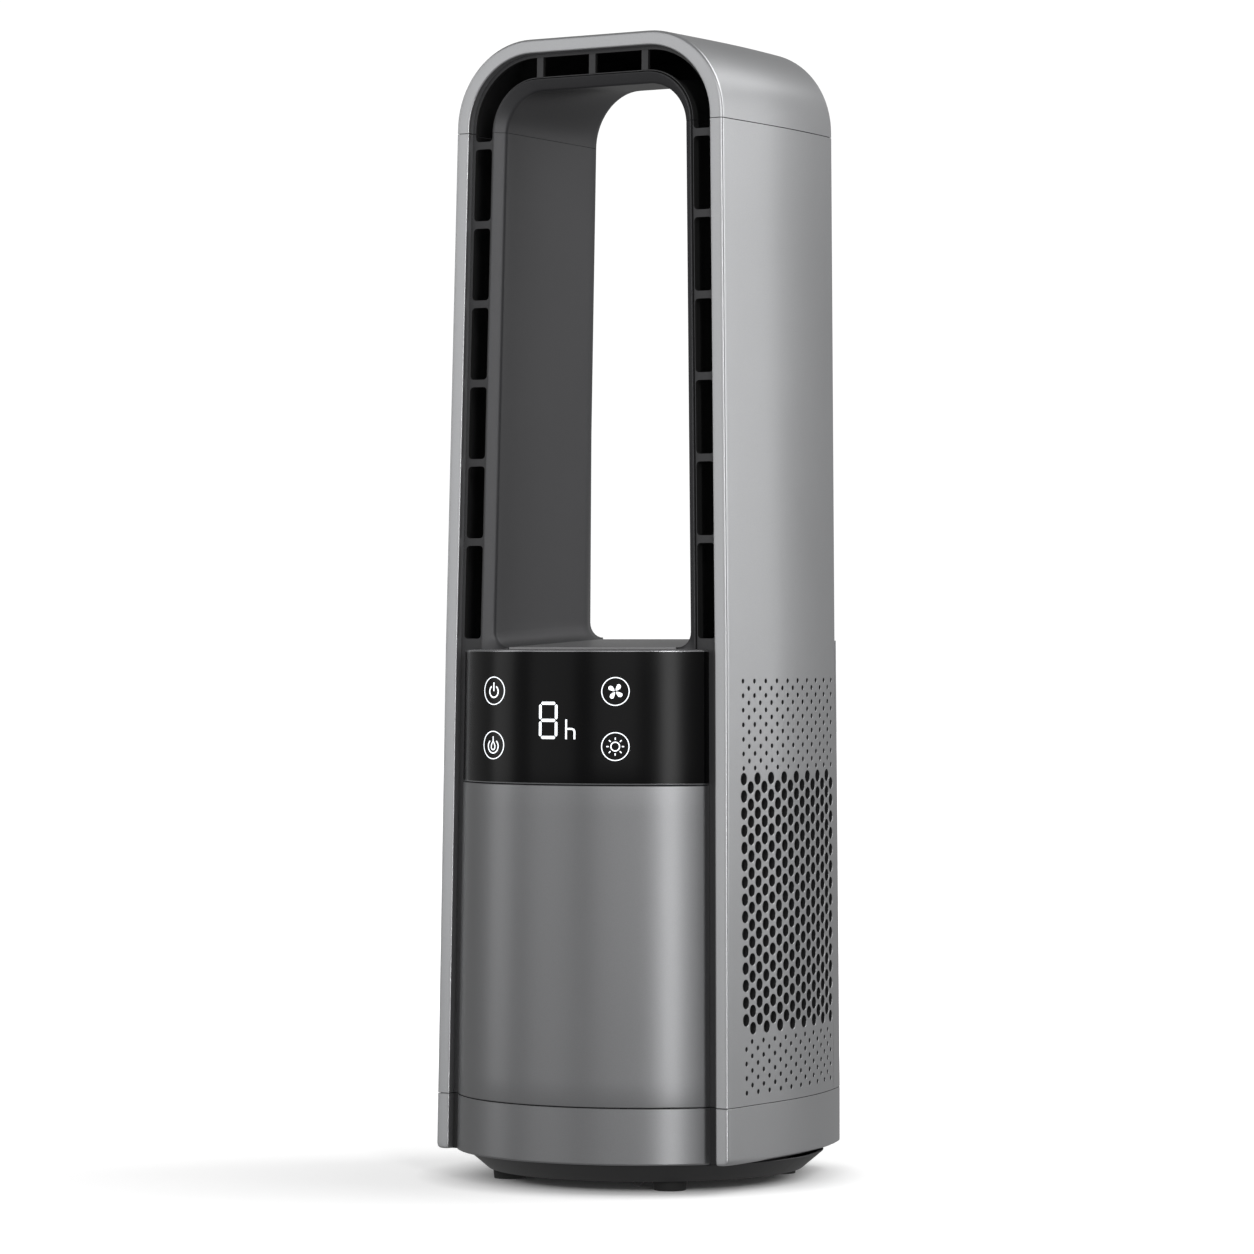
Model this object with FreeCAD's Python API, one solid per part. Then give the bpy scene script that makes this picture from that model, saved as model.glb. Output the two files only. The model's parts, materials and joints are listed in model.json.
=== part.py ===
"""Bladeless tower fan heater: a slim inverted-U loop on a perforated body that swings on a round foot.

Frame: +Z up, the front faces -Y, the origin lies on the floor on the swing axis. Millimetres.
Each sub-part is one named node, written to parts/NODE.step.
"""

import FreeCAD, Part
import math
import os

V = FreeCAD.Vector
UP = V(0, 0, 1)
BACK = V(0, 1, 0)
SIDE = V(1, 0, 0)

# ---------------------------------------------------------------- driving dimensions
HEIGHT = 610.0
LOW_SEAM = 45.2          # between the base ring and everything above it
TOP_SEAM = 561.6         # between the columns and the top arch
BODY_TOP = 286.0         # where the closed body ends and the open loop starts
GAP = 0.4                # parting line between neighbouring covers
WALL = 2.5               # moulded wall of the outer covers

# half width of the band, front plane and side bulge at the low seam, the body top and the top seam
HALF_WIDTH = {LOW_SEAM: 91.4, BODY_TOP: 88.7, TOP_SEAM: 83.5}
CURVATURE = {LOW_SEAM: 1 / 275, BODY_TOP: 1 / 380, TOP_SEAM: 1 / 600}
BULGE_START = -15.0      # the sides are flat in front of this and curve in behind it
FRONT_AT_SEAM = 65.6     # distance of the front plane from the axis at the low seam
LEAN = 0.0139            # the front plane leans back by this much per millimetre of height

ARCH_RADIUS = 46.0
ARCH_SHRINK = 0.85       # how much tighter the corner gets per millimetre of inward offset

FLANGE = 7.7             # width of the bright front rim
GRILLE_DEPTH = 4.5       # how far the outlet grille sits behind the front plane
GRILLE_WALL = 2.0
LOOP_EDGE = 21.2         # inward offset of the loop nose, at LOOP_SETBACK behind the front plane
LOOP_SETBACK = 3.0
BEVEL_END = 27.2         # inward offset of the bevel's inner edge
BEVEL_DEPTH = 8.2
TAIL_START = 107.0       # depth where the inner wall turns towards the trailing edge
TAIL_OFFSET = 18.0
TAIL_END = 124.5
TAIL_TIP = 3.4
LINER_WALL = 2.2
SADDLE_FILLET = 8.5
LINER_LOW = 279.5
SADDLE_FRONT = 285.0
SADDLE_REAR = 289.4

SLOT_OUTER = 9.6         # inward offsets of the two long sides of an outlet slot
SLOT_INNER = 20.2
SLOT_PITCH = 42.7
SLOT_RIB = 4.0
SLOT_FIRST_RIB = 341.6
SLOT_FLOOR = 291.6
SLOT_RADIUS = 2.4
TOP_RIB = 33.0

FACE_RADIUS = 101.8      # front cover at the low seam
FACE_TAPER = 0.01703     # radius lost per millimetre of height
PANEL_LOW = 213.0
PANEL_TOP = 284.0
REAR_CORNER_LOW, REAR_CORNER_TOP = 25.0, 12.0
REAR_JOIN_LOW = 80.5     # where the side turns into the rear corner, at the low seam
REAR_JOIN_TOP = 66.0
REAR_CORNER_END = math.radians(84)
SIDE_END = 66.0          # rear edge of the side covers

# intake perforation on each side
HOLE_FRONT = -46.0
BIG_RADIUS = 2.95
BIG_COLUMNS, BIG_ROWS = 16, 15
BIG_PITCH_Y, BIG_PITCH_Z = 7.0, 9.0
BIG_LOW = 90.0
SMALL_RADIUS = 1.3
SMALL_COLUMNS = 10
SMALL_PITCH_Y, SMALL_ROW = 11.7, 3.8
SMALL_TOP_LOW, SMALL_TOP_ROWS = 221.6, 13
SMALL_LOW_LOW, SMALL_LOW_ROWS = 52.0, 8

# foot and swing drive
RING_LOW = 15.4
FOOT_LOW = 5.4
FOOT_TOP = 14.6
FOOT_R_LOW, FOOT_R_TOP = 85.0, 96.0
FOOT_WALL = 2.5
PAD_RADIUS, PAD_CIRCLE, PAD_ANGLES = 9.0, 74.0, (-48, 42, 132, 222)
HUB_RADIUS, HUB_BORE, HUB_TOP = 16.0, 11.0, 34.0
TABLE_LOW, TABLE_TOP, TABLE_RADIUS = 22.0, 25.0, 86.5
TABLE_LUG_CIRCLE = 82.3
LUG_ANGLES = (-125, -55, 55, 125)
COLLAR_RADIUS, COLLAR_TOP = 20.0, 33.6
GLIDE_INNER, GLIDE_OUTER = 75.5, 79.0
SWING_LIMIT = 40.0
GEAR_MODULE, SUN_TEETH, PINION_TEETH = 1.0, 60, 15
GEAR_LOW, GEAR_TOP = 12.0, 18.0
BACKLASH = 0.12
MESH_DISTANCE = GEAR_MODULE * (SUN_TEETH + PINION_TEETH) / 2
SWING_MOTOR_RADIUS, SWING_MOTOR_OFFSET, SWING_MOTOR_TOP = 24.5, 11.0, 41.0
HUB_CLEARANCE, SWING_EAR = 0.08, 28.0
STOP_CIRCLE, STOP_RADIUS = 70.0, 3.0

# tip-over switch in the foot
TIP_X, TIP_Y = 26.8, -50.3
TIP_PIN, TIP_TRAVEL = 2.4, 3.0

# blower
INLET_Z, HOUSING_TOP, HOUSING_RADIUS = 100.0, 196.0, 68.0
WHEEL_LOW, WHEEL_TOP, WHEEL_RADIUS, WHEEL_EYE = 110.0, 148.0, 54.0, 38.0
WHEEL_BLADES = 28
CUP_LOW, CUP_TOP, CUP_RADIUS = 152.0, 192.0, 33.0
MOTOR_RADIUS, MOTOR_LOW, MOTOR_TOP = 27.0, 156.0, 186.0
SHAFT_RADIUS, SHAFT_CLEARANCE = 3.0, 0.05
VANES = 9

# mains entry
GLAND_Z, GLAND_BORE, GLAND_LENGTH = 30.0, 3.8, 12.0


# ---------------------------------------------------------------- small tools
def between(table, z):
    """Straight-line value of a {height: value} table, carried on past its ends."""
    knots = sorted(table)
    low, high = (knots[0], knots[1]) if z <= knots[1] else (knots[1], knots[2])
    share = (z - low) / (high - low)
    return table[low] + share * (table[high] - table[low])


def front_plane(z):
    """Distance of the leaning front plane from the axis."""
    return FRONT_AT_SEAM - LEAN * (z - LOW_SEAM)


def side_x(y, z):
    """Half width of the outer surface at a place."""
    width = between(HALF_WIDTH, min(z, TOP_SEAM + ARCH_RADIUS))
    run = max(0.0, y - BULGE_START)
    radius = 1 / between(CURVATURE, min(z, TOP_SEAM))
    return width - (radius - math.sqrt(radius**2 - run**2))


def face_radius(z):
    return FACE_RADIUS - FACE_TAPER * (z - LOW_SEAM)


def mirror_x(shape):
    return shape.mirror(V(0, 0, 0), SIDE)


def box(x0, x1, y0, y1, z0, z1):
    return Part.makeBox(x1 - x0, y1 - y0, z1 - z0, V(x0, y0, z0))


def tube(r_out, r_in, z0, z1, centre=(0, 0)):
    at = V(centre[0], centre[1], z0)
    outer = Part.makeCylinder(r_out, z1 - z0, at)
    return outer.cut(Part.makeCylinder(r_in, z1 - z0, at)) if r_in else outer


def spun(points):
    """A solid of revolution about Z from a closed (radius, height) outline."""
    wire = Part.makePolygon([V(r, 0, z) for r, z in points + points[:1]])
    return Part.Face(wire).revolve(V(0, 0, 0), UP, 360)


def polar(radius, degrees):
    return radius * math.cos(math.radians(degrees)), radius * math.sin(math.radians(degrees))


def slab(low, high, z0, z1):
    """The layer between two depths behind the leaning front plane."""
    corners = [(low, z0), (high, z0), (high, z1), (low, z1)]
    points = [V(-120, depth - front_plane(z), z) for depth, z in corners]
    return Part.Face(Part.makePolygon(points + points[:1])).extrude(V(240, 0, 0))


def save(node, *solids):
    """Writes one node; several separate solids go in as a compound."""
    bodies = [s for shape in solids for s in shape.Solids]
    shape = bodies[0] if len(bodies) == 1 else Part.makeCompound(bodies)
    if not shape.isValid():
        print("not valid:", node)
    shape.exportStep(f"parts/{node}.step")
    print(f"{node:22s} solids {len(bodies):3d}  volume {sum(b.Volume for b in bodies) / 1000:8.2f} cm3")


def screw(radius, length, head_radius, head_height, at, direction):
    """A pan-head screw whose head seats at a point, with its shank along a direction."""
    shank = Part.makeCylinder(radius, length, at, direction)
    head = Part.makeCylinder(head_radius, head_height, at - direction * head_height, direction)
    drive = box(-head_radius * 0.7, head_radius * 0.7, -0.4, 0.4, 0, head_height / 2)
    drive.Placement = FreeCAD.Placement(
        at - direction * head_height, FreeCAD.Rotation(UP, direction)
    )
    return shank.fuse(head).cut(drive)


# ---------------------------------------------------------------- loop sections
def arch_points(depth, offset):
    """Where one side of an inverted-U section has its corner: start, middle and end of the arc."""
    radius = ARCH_RADIUS - ARCH_SHRINK * offset
    top = HEIGHT - offset
    start = top - radius
    y = depth - front_plane(start)
    x = side_x(y, start) - offset
    half = math.sqrt(0.5)

    def at(px, pz):
        return V(px, depth - front_plane(pz), pz)

    return (
        at(x, start),
        at(x - radius + radius * half, start + radius * half),
        at(x - radius, top),
    )


def flip(point):
    return V(-point.x, point.y, point.z)


def leg_point(depth, offset, z):
    y = depth - front_plane(z)
    return V(side_x(y, z) - offset, y, z)


def arch_wire(depth, offset, low):
    """The closed inverted-U outline at one depth behind the front plane, offset inwards."""
    foot, knee = leg_point(depth, offset, low), leg_point(depth, offset, BODY_TOP)
    start, middle, end = arch_points(depth, offset)
    edges = [Part.makeLine(flip(foot), foot)]
    if low < BODY_TOP:
        edges += [Part.makeLine(foot, knee), Part.makeLine(knee, start)]
    else:
        edges += [Part.makeLine(foot, start)]
    edges += [
        Part.Arc(start, middle, end).toShape(),
        Part.makeLine(end, flip(end)),
        Part.Arc(flip(end), flip(middle), flip(start)).toShape(),
    ]
    if low < BODY_TOP:
        edges += [Part.makeLine(flip(start), flip(knee)), Part.makeLine(flip(knee), flip(foot))]
    else:
        edges += [Part.makeLine(flip(start), flip(foot))]
    return Part.Wire(edges)


def arch_solid(stations, low):
    """A solid through inverted-U outlines given as (depth, inward offset) pairs."""
    return Part.makeLoft([arch_wire(d, t, low) for d, t in stations], True, True)


def band_stations(offset, front=-2.0, rear=150.0, steps=8):
    """Stations that follow the flat front half and then the bulged rear half of the band."""
    turn = FRONT_AT_SEAM + BULGE_START
    bulge = [turn + (rear - turn) * i / steps for i in range(steps + 1)]
    return [(d, offset) for d in [front] + bulge]


def flat_stations(offset, rear=20.0):
    """Stations of the flat front part only."""
    return [(-2.0, offset), (rear, offset)]


def split_bands(shape):
    """The pieces of a full-height band: below the top seam on each side, and the arch."""
    half_gap = GAP / 2
    right = shape.common(box(0, 120, -130, 130, LOW_SEAM + half_gap, TOP_SEAM - half_gap))
    arch = shape.common(box(-120, 120, -130, 130, TOP_SEAM + half_gap, HEIGHT + 5))
    return right, arch


# ---------------------------------------------------------------- outer covers
def perforation():
    """Cylinders along X that make the intake holes of the right side."""
    drills = []
    for column in range(BIG_COLUMNS):
        y = HOLE_FRONT + column * BIG_PITCH_Y
        lift = 0 if column % 2 == 0 else -BIG_PITCH_Z / 2
        for row in range(BIG_ROWS):
            z = BIG_LOW + row * BIG_PITCH_Z + lift
            drills.append(Part.makeCylinder(BIG_RADIUS, 34, V(66, y, z), SIDE))
    for low, rows in ((SMALL_TOP_LOW, SMALL_TOP_ROWS), (SMALL_LOW_LOW, SMALL_LOW_ROWS)):
        for row in range(rows):
            shift = SMALL_PITCH_Y / 2 if row % 2 else 0
            for column in range(SMALL_COLUMNS - row % 2):
                y = HOLE_FRONT + column * SMALL_PITCH_Y + shift
                z = low + row * SMALL_ROW
                drills.append(Part.makeCylinder(SMALL_RADIUS, 34, V(66, y, z), SIDE))
    return Part.makeCompound(drills)


def make_band():
    """The bright outer band with its front rim, in three covers."""
    outer = arch_solid(band_stations(0), RING_LOW)
    wall = outer.cut(arch_solid(band_stations(WALL), RING_LOW - 5))
    rim = outer.cut(arch_solid(band_stations(FLANGE), RING_LOW - 5))
    rim = rim.common(slab(0, WALL, 0, HEIGHT + 5))
    wall = wall.common(slab(0, 160, 0, HEIGHT + 5)).common(box(-120, 120, -130, SIDE_END, 0, 620))
    right, arch = split_bands(wall.fuse(rim))
    right = right.cut(perforation())
    save("right_side_cover", right)
    save("left_side_cover", mirror_x(right))
    save("top_cap", arch)


def make_screens():
    """Dust screens close behind the perforation."""
    sheet = arch_solid(band_stations(WALL + 0.6), RING_LOW).cut(
        arch_solid(band_stations(WALL + 1.4), RING_LOW - 5)
    )
    window = box(0, 120, HOLE_FRONT - 7, SIDE_END - 1.5, SMALL_LOW_LOW - 4, 273)
    right = sheet.common(window)
    save("right_dust_screen", right)
    save("left_dust_screen", mirror_x(right))


def slot_cutter(offset_out, offset_in, z0, z1):
    """One outlet slot of the right column, as a round-cornered bar through the grille."""
    x_out = leg_point(GRILLE_DEPTH, offset_out, (z0 + z1) / 2).x
    x_in = leg_point(GRILLE_DEPTH, offset_in, (z0 + z1) / 2).x
    bar = box(x_in, x_out, -75, -40, z0, z1)
    upright = [e for e in bar.Edges if abs(e.tangentAt(e.FirstParameter).y) > 0.9]
    return bar.makeFillet(SLOT_RADIUS, upright)


def make_grille():
    """The recessed dark outlet grille: a plate round the loop and down beside the front cover."""
    plate = arch_solid(flat_stations(WALL + 0.3), RING_LOW + 1).cut(
        arch_solid(flat_stations(LOOP_EDGE - 0.5), BODY_TOP - 3)
    )
    plate = plate.common(slab(GRILLE_DEPTH, GRILLE_DEPTH + GRILLE_WALL, 0, HEIGHT + 5))
    below = box(-74.8, 74.8, -130, 130, 0, BODY_TOP - 3)
    plate = plate.cut(below)
    ribs = [SLOT_FIRST_RIB + SLOT_PITCH * i for i in range(6)]
    edges = [SLOT_FLOOR - SLOT_RIB / 2] + ribs
    for low, high in zip(edges, edges[1:]):
        cutter = slot_cutter(SLOT_OUTER, SLOT_INNER, low + SLOT_RIB / 2, high - SLOT_RIB / 2)
        plate = plate.cut(cutter).cut(mirror_x(cutter))
    corner = arch_solid(flat_stations(SLOT_OUTER), ribs[-1] + SLOT_RIB / 2).cut(
        arch_solid(flat_stations(SLOT_INNER), BODY_TOP)
    )
    for x in (-TOP_RIB, 0.0, TOP_RIB):
        corner = corner.cut(box(x - SLOT_RIB / 2, x + SLOT_RIB / 2, -80, -30, 580, 620))
    right, arch = split_bands(plate.cut(corner))
    save("right_outlet_grille", right)
    save("left_outlet_grille", mirror_x(right))
    save("top_outlet_grille", arch)


# ---------------------------------------------------------------- inner loop
def loop_wire(depth, offset, floor, fillet):
    """The closed round-cornered outline of the opening at one depth."""
    start, middle, end = arch_points(depth, offset)
    low = leg_point(depth, offset, floor + fillet)
    y_floor = depth - front_plane(floor)
    bottom = V(low.x - fillet, y_floor, floor)
    bend = fillet * (1 - math.sqrt(0.5))
    middle_low = V(low.x - bend, depth - front_plane(floor + bend), floor + bend)
    return Part.Wire(
        [
            Part.makeLine(flip(bottom), bottom),
            Part.Arc(bottom, middle_low, low).toShape(),
            Part.makeLine(low, start),
            Part.Arc(start, middle, end).toShape(),
            Part.makeLine(end, flip(end)),
            Part.Arc(flip(end), flip(middle), flip(start)).toShape(),
            Part.makeLine(flip(start), flip(low)),
            Part.Arc(flip(low), flip(middle_low), flip(bottom)).toShape(),
        ]
    )


def saddle_height(depth):
    share = (depth - BEVEL_DEPTH) / (TAIL_START - BEVEL_DEPTH)
    return SADDLE_FRONT + share * (SADDLE_REAR - SADDLE_FRONT)


def loop_solid(grow):
    """The opening as a solid, grown outwards: the bevel, the straight wall and the tail."""
    profile = [
        (LOOP_SETBACK - 1.2, LOOP_EDGE - 1.5, -8.0),
        (BEVEL_DEPTH, BEVEL_END, 0.0),
        (TAIL_START, TAIL_OFFSET, 0.0),
        (TAIL_END + 3, TAIL_TIP - 2.1, 0.0),
    ]
    wires = [
        loop_wire(d, t - grow, saddle_height(d) + sink - grow, SADDLE_FILLET + grow)
        for d, t, sink in profile
    ]
    return Part.makeLoft(wires, True, True)


def make_liner():
    """The dark inner wall of the loop, with its bevelled nose and its trailing edge."""
    opening = loop_solid(0)
    stations = [(LOOP_SETBACK, LOOP_EDGE), (BEVEL_DEPTH + 3, LOOP_EDGE)]
    nose = arch_solid(stations, BODY_TOP - 6).cut(opening)
    skin = loop_solid(LINER_WALL).cut(opening)
    room = arch_solid([(d, t + 0.3) for d, t in band_stations(WALL)], BODY_TOP - 12)
    span = slab(LOOP_SETBACK, 200, 0, HEIGHT + 5).common(box(-120, 120, -130, SIDE_END, 0, 620))
    liner = skin.common(room).fuse(nose).common(span)
    liner = liner.cut(box(-120, 120, -130, 130, 0, LINER_LOW))
    half_gap = GAP / 4
    right = liner.common(box(0, 120, -130, 130, LINER_LOW, TOP_SEAM - half_gap))
    right = right.cut(saddle_zone(0.0))
    arch = liner.common(box(-120, 120, -130, 130, TOP_SEAM + half_gap, HEIGHT))
    save("right_inner_wall", right)
    save("left_inner_wall", mirror_x(right))
    save("top_inner_wall", arch)


def saddle_zone(gap):
    """The floor area of the opening between the feet of the two inner walls."""
    plan = [(-9.0, BEVEL_END), (BEVEL_DEPTH, BEVEL_END), (TAIL_START, TAIL_OFFSET)]
    plan += [(TAIL_END + 3, TAIL_TIP - 2.1)]
    points = []
    for depth, offset in plan:
        x = leg_point(depth, offset, SADDLE_REAR).x - SADDLE_FILLET - gap
        points.append(V(x, depth - front_plane(BODY_TOP), 270))
    points += [V(120, SIDE_END + 0.6, 270), V(120, 130, 270)]
    points += [flip(p) for p in reversed(points)]
    face = Part.Face(Part.makePolygon(points + points[:1]))
    return face.extrude(V(0, 0, 40))


# ---------------------------------------------------------------- lower body
def plan_wire(z, offset=0.0, front=None):
    """Body outline at one height: flat front, bulged sides, round rear corners, bowed back."""
    share = (z - LOW_SEAM) / (BODY_TOP - LOW_SEAM)
    join = REAR_JOIN_LOW + share * (REAR_JOIN_TOP - REAR_JOIN_LOW)
    corner = REAR_CORNER_LOW + share * (REAR_CORNER_TOP - REAR_CORNER_LOW)
    y_front = -front_plane(z) if front is None else front
    bulge = 1 / between(CURVATURE, z)
    turn = math.asin((join - BULGE_START) / bulge)
    centre = V(side_x(join, z) - corner * math.cos(turn), join - corner * math.sin(turn), z)

    def on_corner(angle):
        r = corner - offset
        return centre + V(r * math.cos(angle), r * math.sin(angle), 0)

    def on_side(y):
        slope = math.asin(max(0.0, y - BULGE_START) / bulge)
        return V(side_x(y, z) - offset * math.cos(slope), y - offset * math.sin(slope), z)

    tip = on_corner(REAR_CORNER_END)
    bow = tip.x / math.cos(REAR_CORNER_END)
    apex = V(0, tip.y + bow * (1 - math.sin(REAR_CORNER_END)), z)
    front_corner = V(on_side(BULGE_START).x, y_front + offset, z)
    half = [
        (front_corner, None, on_side(BULGE_START)),
        (on_side(BULGE_START), on_side((BULGE_START + join) / 2), on_corner(turn)),
        (on_corner(turn), on_corner((turn + REAR_CORNER_END) / 2), tip),
    ]
    edges = []
    for a, b, c in half:
        edges.append(Part.makeLine(a, c) if b is None else Part.Arc(a, b, c).toShape())
    edges.append(Part.Arc(tip, apex, flip(tip)).toShape())
    for a, b, c in reversed(half):
        edges.append(
            Part.makeLine(flip(c), flip(a)) if b is None else Part.Arc(flip(c), flip(b), flip(a)).toShape()
        )
    edges.append(Part.makeLine(flip(front_corner), front_corner))
    return Part.Wire(edges)


def body_solid(z0, z1, offset=0.0):
    return Part.makeLoft([plan_wire(z0, offset), plan_wire(z1, offset)], True, True)


def face_cone(z0, z1, inward=0.0):
    """The round front of the body as a full cone."""
    return Part.makeCone(face_radius(z0) - inward, face_radius(z1) - inward, z1 - z0, V(0, 0, z0))


def face_edge(z):
    """Half width of the round front, where it meets the front plane."""
    return math.sqrt(face_radius(z) ** 2 - front_plane(z) ** 2)


def face_block(z0, z1, inward=0.0, depth=GRILLE_DEPTH - 0.3):
    """The round front with square sides that go back into the recess."""
    x0, x1 = face_edge(z0) - inward, face_edge(z1) - inward
    outline = [V(-x0, -130, z0), V(x0, -130, z0), V(x1, -130, z1), V(-x1, -130, z1)]
    prism = Part.Face(Part.makePolygon(outline + outline[:1])).extrude(V(0, 140, 0))
    return face_cone(z0, z1, inward).common(prism).common(slab(-60, depth, z0 - 1, z1 + 1))


def face_shell(z0, z1, thickness):
    """The part of the round front that stands proud of the recessed grille."""
    return face_block(z0, z1).cut(face_block(z0, z1, thickness, 20.0))


def make_front():
    save("front_cover", face_shell(LOW_SEAM + GAP / 2, PANEL_LOW - GAP / 2, 2.2))
    panel = face_shell(PANEL_LOW + GAP / 2, PANEL_TOP, 2.6)
    save("display_panel", panel)


def make_back_cover():
    shell = body_solid(LOW_SEAM + GAP / 2, BODY_TOP + 2.6).cut(
        body_solid(LOW_SEAM - 1, BODY_TOP + 3, WALL)
    )
    shell = shell.common(box(-120, 120, SIDE_END + GAP, 130, 0, 400))
    holes = [screw(1.6, 9, 3.0, 1.6, at, direction) for at, direction in back_screw_places()]
    bosses = []
    for at, direction in back_screw_places():
        bosses.append(Part.makeCylinder(4.2, 9, at, direction))
    cover = shell.fuse(bosses)
    for at, direction in back_screw_places():
        cover = cover.cut(Part.makeCylinder(1.65, 14, at - direction, direction))
        cover = cover.cut(Part.makeCylinder(3.2, 5, at - direction * 5, direction))
    save("back_cover", cover)
    save("back_cover_screws", *holes)


def back_screw_places():
    """Head seats of the six screws that hold the back cover, and the way they point."""
    places = []
    for z in (62.0, 165.0, 272.0):
        for x in (-50.0, 50.0):
            places.append((V(x, rear_y(x, z) - 2.4, z), V(0, -1, 0)))
    return places


def make_saddle():
    """The floor of the opening, which closes the top of the body."""
    top = [(BEVEL_DEPTH, SADDLE_FRONT), (TAIL_START, SADDLE_REAR), (175.0, SADDLE_REAR)]
    outline = [V(-120, d - front_plane(BODY_TOP), z) for d, z in top]
    outline += [V(-120, p.y, p.z - WALL) for p in reversed(outline)]
    plate = Part.Face(Part.makePolygon(outline + outline[:1])).extrude(V(240, 0, 0))
    plan = Part.Face(plan_wire(BODY_TOP, WALL + 0.4)).extrude(V(0, 0, 10))
    plan.translate(V(0, 0, -5))
    plate = plate.common(plan).common(saddle_zone(GAP))
    ledge = face_block(PANEL_TOP - 5.2, PANEL_TOP - 0.4, 3.0, BEVEL_DEPTH + 1.5)
    ledge = ledge.cut(slab(LOOP_SETBACK - 0.3, 60, 0, 400).cut(saddle_zone(GAP)))
    save("saddle_cover", plate.fuse(ledge))


def ring_outline(low, high, inward=0.0):
    """The base ring as a solid: the body, its recessed front and the round front cover line."""
    body = body_solid(low, high, inward)
    rim = arch_solid(flat_stations(FLANGE - inward), RING_LOW - 5)
    recess = rim.common(slab(-5, GRILLE_DEPTH + inward, 0, 60))
    face = face_block(low, high, inward, GRILLE_DEPTH + 5)
    return body.cut(recess).fuse(face).removeSplitter()


def make_base_ring():
    """The lowest bright ring, in line with the covers above it."""
    z1 = LOW_SEAM - GAP / 2
    whole = ring_outline(RING_LOW, z1)
    ring = whole.cut(ring_outline(RING_LOW - 1, z1 + 1, WALL))
    lugs = []
    for angle in LUG_ANGLES:
        lug = box(TABLE_LUG_CIRCLE - 4.2, 120, -5, 5, TABLE_TOP, TABLE_TOP + 8)
        lug.rotate(V(0, 0, 0), UP, angle)
        lugs.append(lug.common(whole))
    ring = ring.fuse(lugs)
    for angle in LUG_ANGLES:
        ring = ring.cut(tube(1.5, 0, TABLE_TOP - 1, TABLE_TOP + 6.5, polar(TABLE_LUG_CIRCLE, angle)))
    ring = ring.cut(Part.makeCylinder(7.7, 30, V(0, 88, GLAND_Z), BACK))
    save("base_ring", ring)


def make_gland():
    """The strain-free cable bush in the back of the base ring."""
    y_end = face_radius(RING_LOW)
    y_wall = rear_y(0, GLAND_Z) - WALL
    bush = Part.makeCylinder(7.6, GLAND_LENGTH, V(0, y_end - GLAND_LENGTH, GLAND_Z), BACK)
    flange = Part.makeCylinder(9.6, 1.4, V(0, y_wall - 2.2, GLAND_Z), BACK)
    bore = Part.makeCylinder(GLAND_BORE, 40, V(0, y_end - 30, GLAND_Z), BACK)
    save("cord_gland", bush.fuse(flange).cut(bore))


def rear_y(x, z):
    """Where the back surface of the body is, straight behind a point."""
    line = Part.makeLine(V(x, 0, z), V(x, 200, z))
    return Part.Face(plan_wire(z)).common(line).BoundBox.YMax


# ---------------------------------------------------------------- foot and swing drive
def involute_gear(teeth, tooth_thinning, low, high, bore, turn):
    """A spur gear from its involute flanks; turn is the angle of the middle of its first tooth."""
    pitch = GEAR_MODULE * teeth / 2
    base = pitch * math.cos(math.radians(20))
    tip, root = pitch + 0.9 * GEAR_MODULE, pitch - 1.2 * GEAR_MODULE
    involute = math.tan(math.radians(20)) - math.radians(20)
    half = math.pi / (2 * teeth) - tooth_thinning / (2 * pitch)
    points = []
    for tooth in range(teeth):
        middle = turn + 2 * math.pi * tooth / teeth
        flank = []
        for i in range(5):
            r = max(base, root) + (tip - max(base, root)) * i / 4
            pressure = math.acos(base / r)
            flank.append((r, half + involute - (math.tan(pressure) - pressure)))
        flank.insert(0, (root, flank[0][1]))
        for r, a in flank:
            points.append(V(r * math.cos(middle - a), r * math.sin(middle - a), low))
        for r, a in reversed(flank):
            points.append(V(r * math.cos(middle + a), r * math.sin(middle + a), low))
    blank = Part.Face(Part.makePolygon(points + points[:1])).extrude(V(0, 0, high - low))
    return blank.cut(tube(bore, 0, low, high)) if bore else blank


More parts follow.
